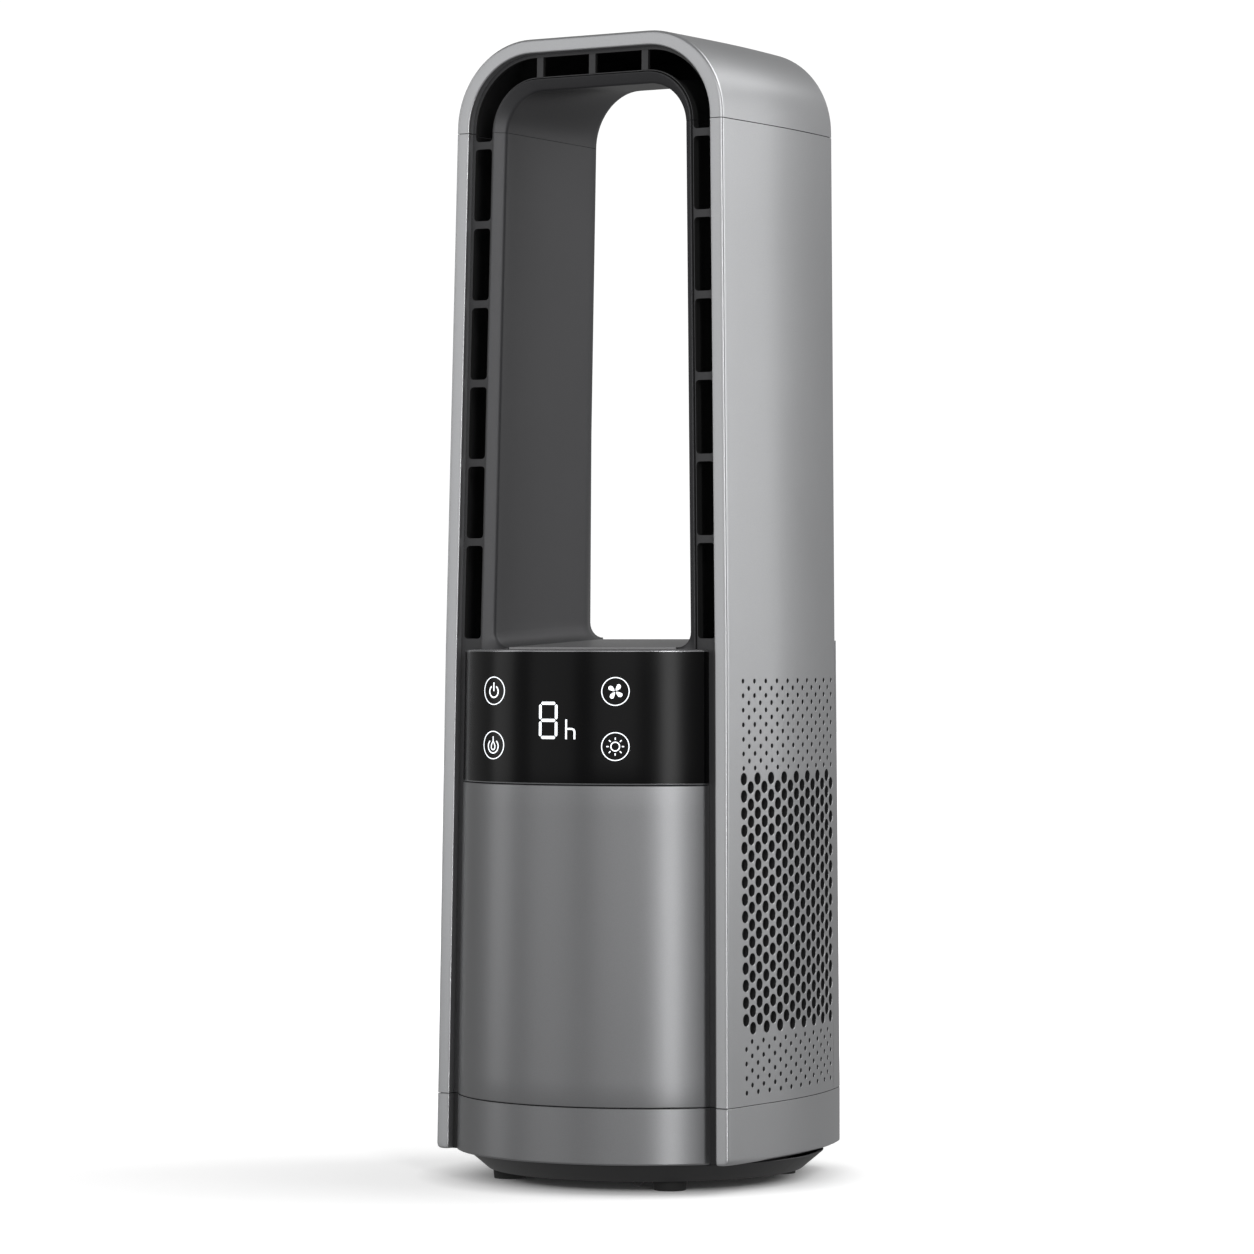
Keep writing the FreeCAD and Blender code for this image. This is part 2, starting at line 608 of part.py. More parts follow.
def make_foot():
    w = FOOT_WALL
    slope = (FOOT_R_TOP - FOOT_R_LOW) / (FOOT_TOP - FOOT_LOW)
    dish = spun(
        [
            (0, FOOT_LOW),
            (FOOT_R_LOW, FOOT_LOW),
            (FOOT_R_TOP, FOOT_TOP),
            (FOOT_R_TOP - w, FOOT_TOP),
            (FOOT_R_LOW - w + w * slope, FOOT_LOW + w),
            (0, FOOT_LOW + w),
        ]
    )
    hub = Part.makeCylinder(HUB_RADIUS, HUB_TOP - FOOT_LOW, V(0, 0, FOOT_LOW))
    track = tube(GLIDE_OUTER, GLIDE_INNER, FOOT_LOW + w / 2, TABLE_LOW - 2.0)
    stops = []
    for sign in (-1, 1):
        angle = -90 + sign * (SWING_LIMIT + 0.7 + 2 * math.degrees(STOP_RADIUS / STOP_CIRCLE))
        x, y = polar(STOP_CIRCLE, angle)
        stops.append(Part.makeCylinder(STOP_RADIUS, TABLE_LOW - 2 - FOOT_LOW, V(x, y, FOOT_LOW)))
    seat = Part.makeCylinder(HUB_RADIUS + 4, GEAR_LOW - FOOT_LOW, V(0, 0, FOOT_LOW))
    shell = dish.fuse([hub, track, seat] + stops)
    shell = shell.cut(Part.makeCylinder(HUB_BORE, 60, V(0, 0, FOOT_LOW + w)))
    shell = shell.cut(Part.makeCylinder(TIP_PIN + 0.5, 20, V(TIP_X, TIP_Y, 0)))
    for angle in range(0, 360, 120):
        x, y = polar(HUB_RADIUS - 2.5, angle)
        shell = shell.cut(Part.makeCylinder(1.1, 12, V(x, y, HUB_TOP - 8)))
    save("foot_shell", shell)
    pads = []
    for angle in PAD_ANGLES:
        x, y = polar(PAD_CIRCLE, angle)
        pads.append(
            Part.makeCone(PAD_RADIUS - 0.6, PAD_RADIUS, FOOT_LOW, V(x, y, 0))
        )
    save("foot_pads", *pads)


def make_foot_inner():
    floor = FOOT_LOW + FOOT_WALL
    ballast = tube(66.0, 48.0, floor, floor + 5)
    ballast = ballast.cut(Part.makeCylinder(8.0, 20, V(TIP_X, TIP_Y, 0)))
    screws = []
    for angle in (20, 140, 260):
        x, y = polar(57, angle)
        ballast = ballast.cut(Part.makeCylinder(2.1, 20, V(x, y, floor)))
        screws.append(screw(1.9, 5, 3.6, 1.8, V(x, y, floor + 5), V(0, 0, -1)))
    save("ballast_plate", ballast)
    save("ballast_screws", *screws)
    save("glide_ring", tube(GLIDE_OUTER, GLIDE_INNER, TABLE_LOW - 2.0, TABLE_LOW - 0.1))
    sun = involute_gear(SUN_TEETH, BACKLASH, GEAR_LOW, GEAR_TOP, HUB_RADIUS, math.radians(90))
    save("swing_ring_gear", sun)
    washer = tube(22.5, HUB_BORE, HUB_TOP, HUB_TOP + 1.6)
    clips = []
    for angle in range(0, 360, 120):
        x, y = polar(HUB_RADIUS - 2.5, angle)
        washer = washer.cut(Part.makeCylinder(1.3, 6, V(x, y, HUB_TOP)))
        clips.append(screw(1.0, 7, 1.9, 1.2, V(x, y, HUB_TOP + 1.6), V(0, 0, -1)))
    save("hub_washer", washer)
    save("hub_screws", *clips)


def make_tip_switch():
    floor = FOOT_LOW + FOOT_WALL
    at = (TIP_X, TIP_Y)
    top = floor + 10.0
    body = tube(6.6, 5.0, floor, top, at).fuse(tube(6.6, 0, top - 1.2, top, at))
    save("tip_switch_body", body)
    pin = Part.makeCylinder(TIP_PIN, floor + 5.0 - TIP_PIN, V(*at, TIP_PIN))
    nose = Part.makeSphere(TIP_PIN, V(*at, TIP_PIN))
    collar = Part.makeCylinder(4.92, 1.4, V(*at, floor + TIP_TRAVEL + 0.3))
    save("tip_switch_plunger", pin.fuse([nose, collar]))
    low, high = floor + TIP_TRAVEL + 1.8, top - 1.3
    coil = Part.makeHelix((high - low - 0.6) / 3.5, high - low - 0.6, 3.6)
    coil.translate(V(*at, low + 0.3))
    profile = Part.Wire(Part.makeCircle(0.3, V(TIP_X + 3.6, TIP_Y, low + 0.3), BACK))
    spring = Part.Wire(coil.Edges).makePipeShell([profile], True, True)
    save("tip_switch_spring", spring)


def make_turntable():
    plate = tube(TABLE_RADIUS, HUB_RADIUS + HUB_CLEARANCE, TABLE_LOW, TABLE_TOP)
    collar = tube(COLLAR_RADIUS, HUB_RADIUS + HUB_CLEARANCE, TABLE_LOW, COLLAR_TOP)
    x, y = polar(STOP_CIRCLE, -90)
    lug = Part.makeCylinder(STOP_RADIUS, TABLE_LOW - 14.5, V(x, y, 14.5))
    shaft_hole = Part.makeCylinder(4.0, 20, V(0, MESH_DISTANCE, TABLE_LOW - 5))
    plate = plate.fuse([collar, lug]).cut(shaft_hole)
    arms = []
    for place in table_screw_places()[:4]:
        arms.append(tube(4.6, 0, TABLE_TOP - 0.01, TABLE_TOP + 7, place))
    table = plate.fuse(arms)
    for x, y in table_screw_places():
        table = table.cut(Part.makeCylinder(1.5, 30, V(x, y, TABLE_LOW - 1)))
    for x in (-SWING_EAR, SWING_EAR):
        y = MESH_DISTANCE + SWING_MOTOR_OFFSET
        table = table.cut(Part.makeCylinder(1.6, 10, V(x, y, TABLE_LOW - 1)))
    save("turntable", table)
    screws = [screw(1.4, 9, 2.6, 1.4, V(x, y, TABLE_LOW), UP) for x, y in table_screw_places()]
    save("turntable_screws", *screws)


def table_screw_places():
    legs = [polar(64, angle) for angle in (0, 50, 130, 180)]
    return legs + [polar(TABLE_LUG_CIRCLE, angle) for angle in LUG_ANGLES]


def make_swing_motor():
    centre_y = MESH_DISTANCE + SWING_MOTOR_OFFSET
    can = tube(SWING_MOTOR_RADIUS, 0, TABLE_TOP, SWING_MOTOR_TOP, (0, centre_y))
    boss = tube(6.0, 0, TABLE_TOP - 2.5, TABLE_TOP + 0.3, (0, MESH_DISTANCE)).common(
        tube(3.8, 0, 0, 60, (0, MESH_DISTANCE))
    )
    ears = box(-31, 31, centre_y - 4, centre_y + 4, TABLE_TOP, TABLE_TOP + 1.8)
    plug = box(-8, 8, centre_y + SWING_MOTOR_RADIUS - 3, centre_y + SWING_MOTOR_RADIUS + 5, 29, 37)
    shaft_room = Part.makeCylinder(2.5 + SHAFT_CLEARANCE, 12, V(0, MESH_DISTANCE, TABLE_TOP - 6))
    motor = can.fuse([boss, ears, plug]).cut(shaft_room)
    screws = []
    for x in (-SWING_EAR, SWING_EAR):
        motor = motor.cut(Part.makeCylinder(1.6, 10, V(x, centre_y, TABLE_TOP)))
        screws.append(screw(1.5, 4.4, 2.8, 1.5, V(x, centre_y, TABLE_TOP + 1.8), V(0, 0, -1)))
    save("swing_motor", motor)
    save("swing_motor_screws", *screws)
    pinion = involute_gear(
        PINION_TEETH, BACKLASH, GEAR_LOW - 0.5, GEAR_TOP + 0.5, 0, math.radians(-90 + 180 / PINION_TEETH)
    )
    pinion.translate(V(0, MESH_DISTANCE, 0))
    shaft = tube(2.5, 0, GEAR_TOP, TABLE_TOP + 4, (0, MESH_DISTANCE))
    save("swing_pinion", pinion.fuse(shaft))


# ---------------------------------------------------------------- blower and heater
def make_housing():
    """The round blower housing with its bell-mouth inlet."""
    w = 2.0
    housing = spun(
        [
            (WHEEL_EYE - 2, INLET_Z + 6),
            (WHEEL_EYE + 6, INLET_Z),
            (HOUSING_RADIUS, INLET_Z),
            (HOUSING_RADIUS, HOUSING_TOP),
            (HOUSING_RADIUS - w, HOUSING_TOP),
            (HOUSING_RADIUS - w, INLET_Z + w),
            (WHEEL_EYE + 6.8, INLET_Z + w),
            (WHEEL_EYE - 1.2, INLET_Z + 8),
            (WHEEL_EYE - 3, INLET_Z + 8),
        ]
    )
    save("blower_housing", housing)
    legs = [tube(3.0, 0, TABLE_TOP + 7.0, INLET_Z, place) for place in table_screw_places()[:4]]
    save("blower_stand_legs", *legs)


def curved_blade(index, count, r_in, r_out, low, high, thickness, sweep):
    """One backward-curved blade as a thin arc-shaped wall."""
    turn = 360.0 * index / count

    def at(r, angle):
        x, y = polar(r, angle + turn)
        return V(x, y, low)

    mid = (r_in + r_out) / 2
    half = math.degrees(thickness / 2 / mid)
    edges = [
        Part.Arc(at(r_in, -half), at(mid, sweep * 0.42 - half), at(r_out, sweep - half)).toShape(),
        Part.makeLine(at(r_out, sweep - half), at(r_out, sweep + half)),
        Part.Arc(at(r_out, sweep + half), at(mid, sweep * 0.42 + half), at(r_in, half)).toShape(),
        Part.makeLine(at(r_in, half), at(r_in, -half)),
    ]
    return Part.Face(Part.Wire(edges)).extrude(V(0, 0, high - low))


def make_rotor():
    back_plate = tube(WHEEL_RADIUS, 0, WHEEL_TOP - 2, WHEEL_TOP)
    hub = tube(9.0, 0, WHEEL_TOP - 22, WHEEL_TOP - 1)
    ring = tube(WHEEL_RADIUS, WHEEL_EYE, WHEEL_LOW, WHEEL_LOW + 1.6)
    blades = [
        curved_blade(i, WHEEL_BLADES, WHEEL_EYE + 1, WHEEL_RADIUS - 0.3, WHEEL_LOW + 1, WHEEL_TOP - 1, 1.2, -14)
        for i in range(WHEEL_BLADES)
    ]
    wheel = back_plate.fuse([hub, ring] + blades).cut(tube(SHAFT_RADIUS, 0, 0, 200))
    save("impeller", wheel)
    save("motor_shaft", tube(SHAFT_RADIUS, 0, WHEEL_TOP - 28, MOTOR_TOP + 3))
    nut = Part.Face(
        Part.makePolygon([V(*polar(5.5, 60 * i), WHEEL_TOP - 26.6) for i in range(7)])
    ).extrude(V(0, 0, 4.6))
    save("impeller_nut", nut.cut(tube(SHAFT_RADIUS, 0, 0, 200)))


def make_motor():
    w = 1.8
    can = tube(MOTOR_RADIUS, 0, MOTOR_LOW, MOTOR_TOP)
    nose = tube(8.0, 0, MOTOR_LOW - 2.5, MOTOR_TOP + 2.0)
    can = can.fuse(nose).cut(tube(SHAFT_RADIUS + SHAFT_CLEARANCE, 0, 0, 300))
    save("fan_motor", can)
    cup = tube(CUP_RADIUS, CUP_RADIUS - w, CUP_LOW, CUP_TOP)
    floor = tube(CUP_RADIUS, 10.0, CUP_LOW, CUP_LOW + w)
    vanes = [
        curved_blade(i, VANES, CUP_RADIUS - 0.5, HOUSING_RADIUS - 2.05, CUP_LOW + 4, CUP_TOP, 1.6, 12)
        for i in range(VANES)
    ]
    save("motor_cup", cup.fuse([floor] + vanes))
    low = tube(CUP_RADIUS - w, MOTOR_RADIUS, MOTOR_LOW + 2, MOTOR_LOW + 8)
    high = tube(CUP_RADIUS - w, MOTOR_RADIUS, MOTOR_TOP - 8, MOTOR_TOP - 2)
    save("motor_rubber_rings", low, high)


BOARD_Y, BOARD_THICK = -79.0, 1.6
DUCT_X, DUCT_FRONT, DUCT_REAR = 70.0, -50.0, 58.0
DUCT_LOW, DUCT_TOP, DUCT_WALL = HOUSING_TOP, 281.5, 2.0
POST_X, POST_LOW, POST_HIGH = 40.0, 222.0, 270.0
POWER_BOARD_Y, POWER_BOARD_LOW = 64.0, 200.0
HEATER_X, HEATER_Y, HEATER_LOW, HEATER_TOP = 62.0, 34.0, 208.0, 234.0


def make_duct():
    """The manifold that leads the air from the blower through the heater into both columns."""
    outer = box(-DUCT_X, DUCT_X, DUCT_FRONT, DUCT_REAR, DUCT_LOW, DUCT_TOP)
    inner = box(
        -DUCT_X + DUCT_WALL, DUCT_X - DUCT_WALL, DUCT_FRONT + DUCT_WALL, DUCT_REAR - DUCT_WALL,
        DUCT_LOW + DUCT_WALL, DUCT_TOP - DUCT_WALL,
    )
    inlet = Part.makeCylinder(HOUSING_RADIUS - 20, 12, V(0, 0, DUCT_LOW - 5))
    lid = tube(HOUSING_RADIUS, HOUSING_RADIUS - 20, DUCT_LOW, DUCT_LOW + DUCT_WALL)
    duct = outer.fuse(lid).cut(inner.cut(lid)).cut(inlet)
    for x in (-POST_X, POST_X):
        for z in (POST_LOW, POST_HIGH):
            length = DUCT_FRONT - BOARD_Y - BOARD_THICK
            duct = duct.fuse(Part.makeCylinder(2.6, length, V(x, DUCT_FRONT - length, z), BACK))
            duct = duct.fuse(Part.makeCylinder(2.6, POWER_BOARD_Y - DUCT_REAR, V(x, DUCT_REAR, z), BACK))
    for sign in (-1, 1):
        x0, x1 = sorted((sign * 60.5, sign * (DUCT_X - DUCT_WALL)))
        duct = duct.cut(box(x0, x1, DUCT_FRONT + 6, DUCT_REAR - 6, DUCT_TOP - 10, DUCT_TOP + 5))
    save("air_duct", duct)


def make_heater():
    frame = box(-HEATER_X, HEATER_X, -HEATER_Y, HEATER_Y, HEATER_LOW, HEATER_TOP).cut(
        box(-HEATER_X + 4, HEATER_X - 4, -HEATER_Y + 4, HEATER_Y - 4, HEATER_LOW - 1, HEATER_TOP + 1)
    )
    legs = []
    for x in (-HEATER_X + 4, HEATER_X - 4):
        legs.append(box(x - 4, x + 4, -4, 4, DUCT_LOW + DUCT_WALL, HEATER_LOW + 1))
    save("heater_frame", frame.fuse(legs))
    bars, fins = [], []
    rows = 5
    for i in range(rows):
        y = -24 + 12 * i
        bars.append(box(-HEATER_X + 4.2, HEATER_X - 4.2, y - 1.4, y + 1.4, HEATER_LOW + 3, HEATER_TOP - 3))
    fin_step = 3.2
    for i in range(rows + 1):
        y0 = -HEATER_Y + 4.2 if i == 0 else -24 + 12 * (i - 1) + 1.4
        y1 = HEATER_Y - 4.2 if i == rows else -24 + 12 * i - 1.4
        for k in range(int(2 * (HEATER_X - 6) / fin_step)):
            x = -HEATER_X + 7 + k * fin_step
            fins.append(box(x, x + 0.4, y0 + 0.02, y1 - 0.02, HEATER_LOW + 4, HEATER_TOP - 4))
    save("heater_bars", *bars)
    save("heater_fins", *fins)
    save("thermal_cutout", tube(8, 0, HEATER_TOP, HEATER_TOP + 4, (0, HEATER_Y - 2)).fuse(
        box(-11, 11, HEATER_Y - 3.5, HEATER_Y - 0.5, HEATER_TOP, HEATER_TOP + 1.5)))


# ---------------------------------------------------------------- electronics
DIGIT_Z = 247.6
KEY_RADIUS, KEY_TURN, KEY_LOW, KEY_HIGH = 8.0, 22.8, 232.0, 261.5


def key_place(side, z, radius):
    """A point on the round front at a touch key, at some distance from the axis."""
    angle = math.radians(-90 + side * KEY_TURN)
    return V(radius * math.cos(angle), radius * math.sin(angle), z)


def make_boards():
    board = box(-48, 48, BOARD_Y, BOARD_Y + BOARD_THICK, 216, 277)
    save("control_board", board)
    module = box(-14, 20, BOARD_Y - 9, BOARD_Y, DIGIT_Z - 14, DIGIT_Z + 14)
    save("digit_display", module)
    pads = []
    for side in (-1, 1):
        for z in (KEY_LOW, KEY_HIGH):
            tip = key_place(side, z, face_radius(z) - 3.2)
            pads.append(Part.makeCylinder(5.5, BOARD_Y - tip.y - 3.0, V(tip.x, tip.y + 3.0, z), BACK))
    save("touch_pads", *pads)
    y = POWER_BOARD_Y + BOARD_THICK
    low = POWER_BOARD_LOW
    save("power_board", box(-52, 52, POWER_BOARD_Y, y, low, low + 76))
    choke = tube(8.0, 3.5, 0, 7)
    choke.rotate(V(0, 0, 0), SIDE, 90)
    choke.translate(V(-8, y + 8, low + 56))
    choke.translate(V(0, -choke.BoundBox.YMin + y, 0))
    parts = [
        box(-40, -18, y, y + 12, low + 4, low + 26),
        box(10, 30, y, y + 11, low + 40, low + 62),
        choke,
        Part.makeCylinder(5, 16, V(38, y + 5, low + 8), UP),
        box(-46, -26, y, y + 9, low + 42, low + 64),
        box(-4, 22, y, y + 12, low + 2, low + 26),
    ]
    save("power_board_parts", *parts)


def main():
    os.makedirs("parts", exist_ok=True)
    make_band()
    make_screens()
    make_grille()
    make_liner()
    make_front()
    make_back_cover()
    make_saddle()
    make_base_ring()
    make_gland()
    make_foot()
    make_foot_inner()
    make_tip_switch()
    make_turntable()
    make_swing_motor()
    make_housing()
    make_rotor()
    make_motor()
    make_duct()
    make_heater()
    make_boards()


main()
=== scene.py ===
# %% [markdown]
# # A bladeless tower fan, piece by piece
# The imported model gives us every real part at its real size. This script keeps that frame,
# gives each part a finish, and remakes the parts that the eye rests on: the perforated sides,
# the rounded rim, the dark loop and the lit touch panel.
# We start by loading the frame. Everything is in metres, +Z is up and the front faces -Y.

# %% load the frame
import json
import math

import bmesh
import bpy
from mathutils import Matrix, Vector
from mathutils.geometry import delaunay_2d_cdt


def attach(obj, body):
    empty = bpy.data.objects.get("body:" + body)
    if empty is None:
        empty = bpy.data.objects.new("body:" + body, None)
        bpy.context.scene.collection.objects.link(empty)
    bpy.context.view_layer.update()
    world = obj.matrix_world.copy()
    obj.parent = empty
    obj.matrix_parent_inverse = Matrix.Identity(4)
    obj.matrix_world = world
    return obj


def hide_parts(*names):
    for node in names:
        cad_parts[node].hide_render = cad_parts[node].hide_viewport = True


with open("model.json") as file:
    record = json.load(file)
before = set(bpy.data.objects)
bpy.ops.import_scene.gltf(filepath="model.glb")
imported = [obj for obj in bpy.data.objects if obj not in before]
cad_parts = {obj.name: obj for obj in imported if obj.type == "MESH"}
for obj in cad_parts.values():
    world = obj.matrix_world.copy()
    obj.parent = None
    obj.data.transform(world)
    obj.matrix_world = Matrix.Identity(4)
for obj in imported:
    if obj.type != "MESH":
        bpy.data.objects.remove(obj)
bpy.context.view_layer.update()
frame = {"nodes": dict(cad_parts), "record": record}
nodes = frame["nodes"]

# %% [markdown]
# ## The camera
# A long lens far away keeps the tall tower from looking pinched. The fan is seen from its front
# right, with the lens as high as the top of the closed body, so the floor of the opening is
# edge on.

# %% camera
VIEW_TURN = math.radians(32.0)
VIEW_DISTANCE = 2.70
VIEW_HEIGHT = 0.2862
LENS, SENSOR = 143.5, 36.0
AIM_LEFT, AIM_UP = math.radians(0.212), math.radians(0.206)

camera_data = bpy.data.cameras.new("camera")
camera_data.lens, camera_data.sensor_width = LENS, SENSOR
camera = bpy.data.objects.new("camera", camera_data)
bpy.context.scene.collection.objects.link(camera)
camera.location = (
    VIEW_DISTANCE * math.sin(VIEW_TURN),
    -VIEW_DISTANCE * math.cos(VIEW_TURN),
    VIEW_HEIGHT,
)
camera.rotation_euler = (math.pi / 2 + AIM_UP, 0, VIEW_TURN + AIM_LEFT)
bpy.context.scene.camera = camera
bpy.context.scene.view_settings.view_transform = "Standard"
print("camera stands at", [round(c, 3) for c in camera.location])

# %% [markdown]
# ## Writing shader sums as sums
# A finish is a small calculation over the surface. One class wraps a socket, so that
# `1 - mask * 0.5` adds the Math nodes for us, and one method adds any other kind of node.


# %% shader maths
class Socket:
    """A node socket that can be used in an expression."""

    def __init__(self, finish, socket):
        self.finish, self.socket = finish, socket

    def _math(self, operation, first, second):
        return self.finish.node("ShaderNodeMath", {"operation": operation}, {0: first, 1: second})

    def __add__(self, other):
        return self._math("ADD", self, other)

    def __radd__(self, other):
        return self._math("ADD", other, self)

    def __sub__(self, other):
        return self._math("SUBTRACT", self, other)

    def __rsub__(self, other):
        return self._math("SUBTRACT", other, self)

    def __mul__(self, other):
        return self._math("MULTIPLY", self, other)

    def __rmul__(self, other):
        return self._math("MULTIPLY", other, self)


class Finish:
    """A material whose nodes are added by hand, one call for each."""

    def __init__(self, name, colour, roughness, metallic=0.0, coat=0.0, coat_roughness=0.1):
        self.material = bpy.data.materials.new(name)
        self.material.use_nodes = True
        self.tree = self.material.node_tree
        self.shader = self.tree.nodes["Principled BSDF"]
        self.set("Base Color", (*colour, 1.0))
        self.set("Roughness", roughness)
        self.set("Metallic", metallic)
        self.set("Coat Weight", coat)
        self.set("Coat Roughness", coat_roughness)

    def node(self, kind, settings=None, inputs=None, output=0):
        """Adds a node: its type, its settings, then the values or links of its sockets."""
        made = self.tree.nodes.new(kind)
        for name, value in (settings or {}).items():
            setattr(made, name, value)
        for name, value in (inputs or {}).items():
            self.link(made.inputs[name], value)
        return Socket(self, made.outputs[output])

    def link(self, target, value):
        if isinstance(value, Socket):
            self.tree.links.new(value.socket, target)
        else:
            target.default_value = value

    def set(self, name, value):
        self.link(self.shader.inputs[name], value)

    def place(self):
        """Where a point is on the object, in metres."""
        return self.node("ShaderNodeTexCoord", output=3)

    def noise(self, scale, detail=2.0, roughness=0.5):
        inputs = {"Vector": self.place(), "Scale": scale}
        inputs.update({"Detail": detail, "Roughness": roughness})
        return self.node("ShaderNodeTexNoise", None, inputs)

    def mix(self, factor, first, second):
        """Two colours mixed by a mask."""
        inputs = {"Factor": factor, 6: (*first, 1.0), 7: (*second, 1.0)}
        return self.node("ShaderNodeMix", {"data_type": "RGBA"}, inputs, output=2)

    def relief(self, height, distance, strength):
        """Fine relief from a height map; distance is in metres."""
        inputs = {"Height": height, "Distance": distance, "Strength": strength}
        self.set("Normal", self.node("ShaderNodeBump", None, inputs))


print("shader helpers ready")

# %% [markdown]
# ## The finishes
# The covers are moulded plastic with a satin metallic paint. Up close such paint is a bed of tiny
# flakes, so the colour and the gloss flicker a little and the clear coat has a faint orange peel.
# The front cover has a deeper tone of the same paint.


# %% metallic paint
def metallic_paint(name, colour, roughness):
    paint = Finish(name, colour, roughness, metallic=0.82, coat=0.25, coat_roughness=0.22)
    flakes = paint.noise(2600.0)
    cloud = paint.noise(9.0, detail=3.0)
    dark = tuple(c * 0.84 for c in colour)
    light = tuple(min(1.0, c * 1.16) for c in colour)
    paint.set("Base Color", paint.mix(flakes * 0.7 + cloud * 0.3, dark, light))
    paint.set("Roughness", flakes * 0.08 + cloud * 0.05 + (roughness - 0.065))
    paint.relief(flakes * 0.6 + paint.noise(420.0) * 0.4, 0.00002, 0.5)
    return paint.material


silver_paint = metallic_paint("silver paint", (0.47, 0.475, 0.485), 0.33)
grey_paint = metallic_paint("grey paint", (0.235, 0.237, 0.243), 0.39)
print("paints:", silver_paint.name, grey_paint.name)

# %% [markdown]
# Dark plastics are moulded with a fine spark-eroded grain. It scatters the light a little
# differently from place to place, which keeps a black part from looking like a hole.


# %% moulded plastic
def moulded_plastic(name, colour, roughness, grain=900.0, metallic=0.0):
    plastic = Finish(name, colour, roughness, metallic=metallic)
    texture = plastic.noise(grain, detail=3.0, roughness=0.6)
    cloud = plastic.noise(14.0, detail=3.0)
    light = tuple(c * 1.2 + 0.002 for c in colour)
    dark = tuple(c * 0.85 for c in colour)
    plastic.set("Base Color", plastic.mix(texture * 0.6 + cloud * 0.4, dark, light))
    plastic.set("Roughness", texture * 0.12 + cloud * 0.06 + (roughness - 0.09))
    plastic.relief(texture, 0.00003, 0.7)
    return plastic.material


inner_plastic = moulded_plastic(
    "inner wall plastic", (0.055, 0.055, 0.058), 0.42, metallic=0.35
)
grille_plastic = moulded_plastic("grille plastic", (0.035, 0.035, 0.037), 0.5)
foot_plastic = moulded_plastic("foot plastic", (0.016, 0.016, 0.017), 0.42, grain=1400.0)
pad_rubber = moulded_plastic("pad rubber", (0.012, 0.012, 0.012), 0.8, grain=600.0)
hidden_plastic = moulded_plastic("hidden plastic", (0.02, 0.02, 0.021), 0.6)
# Near-black, very rough plastic for the slot walls, the backs of the grille plates and the hidden
# sides of the inner walls: painted shade, darker than their own dark plastic, so the slots read as
# unlit.
painted_shade_black = moulded_plastic("painted shade black plastic", (0.004, 0.004, 0.004), 0.9)
pale_acetal = moulded_plastic("pale acetal", (0.7, 0.7, 0.67), 0.35, grain=300.0)
print("plastics:", len([m for m in bpy.data.materials if "plastic" in m.name]))

# %% [markdown]
# The display window is a single black acrylic part, polished until it mirrors the room.
# A very slow waviness is what tells polished plastic from glass. The metals, the circuit board
# and the dust screens get a finish of their own too, although little of them is seen.

# %% black window, metals, boards and screens
window_finish = Finish("black window", (0.002, 0.002, 0.0023), 0.2)
wave = window_finish.noise(30.0, detail=1.0)
window_finish.set("Roughness", wave * 0.04 + 0.2)
window_finish.relief(wave, 0.00004, 0.3)
window_finish.set("Specular IOR Level", 0.14)
black_window = window_finish.material
# The window's soft top and bottom edges take a lighter metallic grey instead of the window's
# black: a painted highlight for the bright lines along those edges.
window_edge_highlight = moulded_plastic(
    "window edge painted highlight", (0.3, 0.3, 0.31), 0.24, grain=300.0, metallic=0.8
)
# The saddle at the floor of the opening gets a light metallic grey, lighter than its own dark
# plastic: a painted reflection of the bright room seen at a grazing angle.
saddle_painted_reflection = moulded_plastic("saddle plastic", (0.3, 0.3, 0.305), 0.36, metallic=0.6)


def plain_metal(name, colour, roughness, streak=60.0):
    metal = Finish(name, colour, roughness, metallic=1.0)
    brushed = metal.noise(streak, detail=6.0, roughness=0.7)
    metal.set("Roughness", brushed * 0.2 + (roughness - 0.1))
    metal.relief(brushed, 0.00003, 0.4)
    return metal.material


steel = plain_metal("zinc plated steel", (0.46, 0.46, 0.46), 0.35)
dark_steel = plain_metal("blackened screw steel", (0.08, 0.08, 0.085), 0.4, 300.0)
aluminium = plain_metal("bare aluminium", (0.6, 0.6, 0.61), 0.38)

board_finish = Finish("circuit board lacquer", (0.02, 0.12, 0.05), 0.35, coat=0.4)
board_mask = board_finish.noise(240.0)
board_colour = board_finish.mix(board_mask, (0.015, 0.09, 0.04), (0.03, 0.16, 0.07))
board_finish.set("Base Color", board_colour)
board_green = board_finish.material

screen_finish = Finish("dust screen mesh", (0.02, 0.02, 0.02), 0.8)
weave_inputs = {"Vector": screen_finish.place(), "Scale": 900.0}
weave = screen_finish.node("ShaderNodeTexVoronoi", None, weave_inputs)
screen_colour = screen_finish.mix(weave, (0.004, 0.004, 0.004), (0.03, 0.03, 0.03))
screen_finish.set("Base Color", screen_colour)
screen_finish.relief(weave, 0.0001, 0.8)
screen_mesh = screen_finish.material

lit_finish = Finish("lit symbol", (0.9, 0.93, 0.95), 0.4)
glow = lit_finish.noise(160.0, detail=1.0)
lit_finish.set("Emission Color", lit_finish.mix(glow, (0.86, 0.92, 1.0), (0.95, 0.98, 1.0)))
lit_finish.set("Emission Strength", 1.0)
lit_symbol = lit_finish.material
print("finishes so far:", len(bpy.data.materials))

# %% [markdown]
# Each part in the frame now takes the finish of its kind. The record names a slot for each part,
# so one short table is enough.

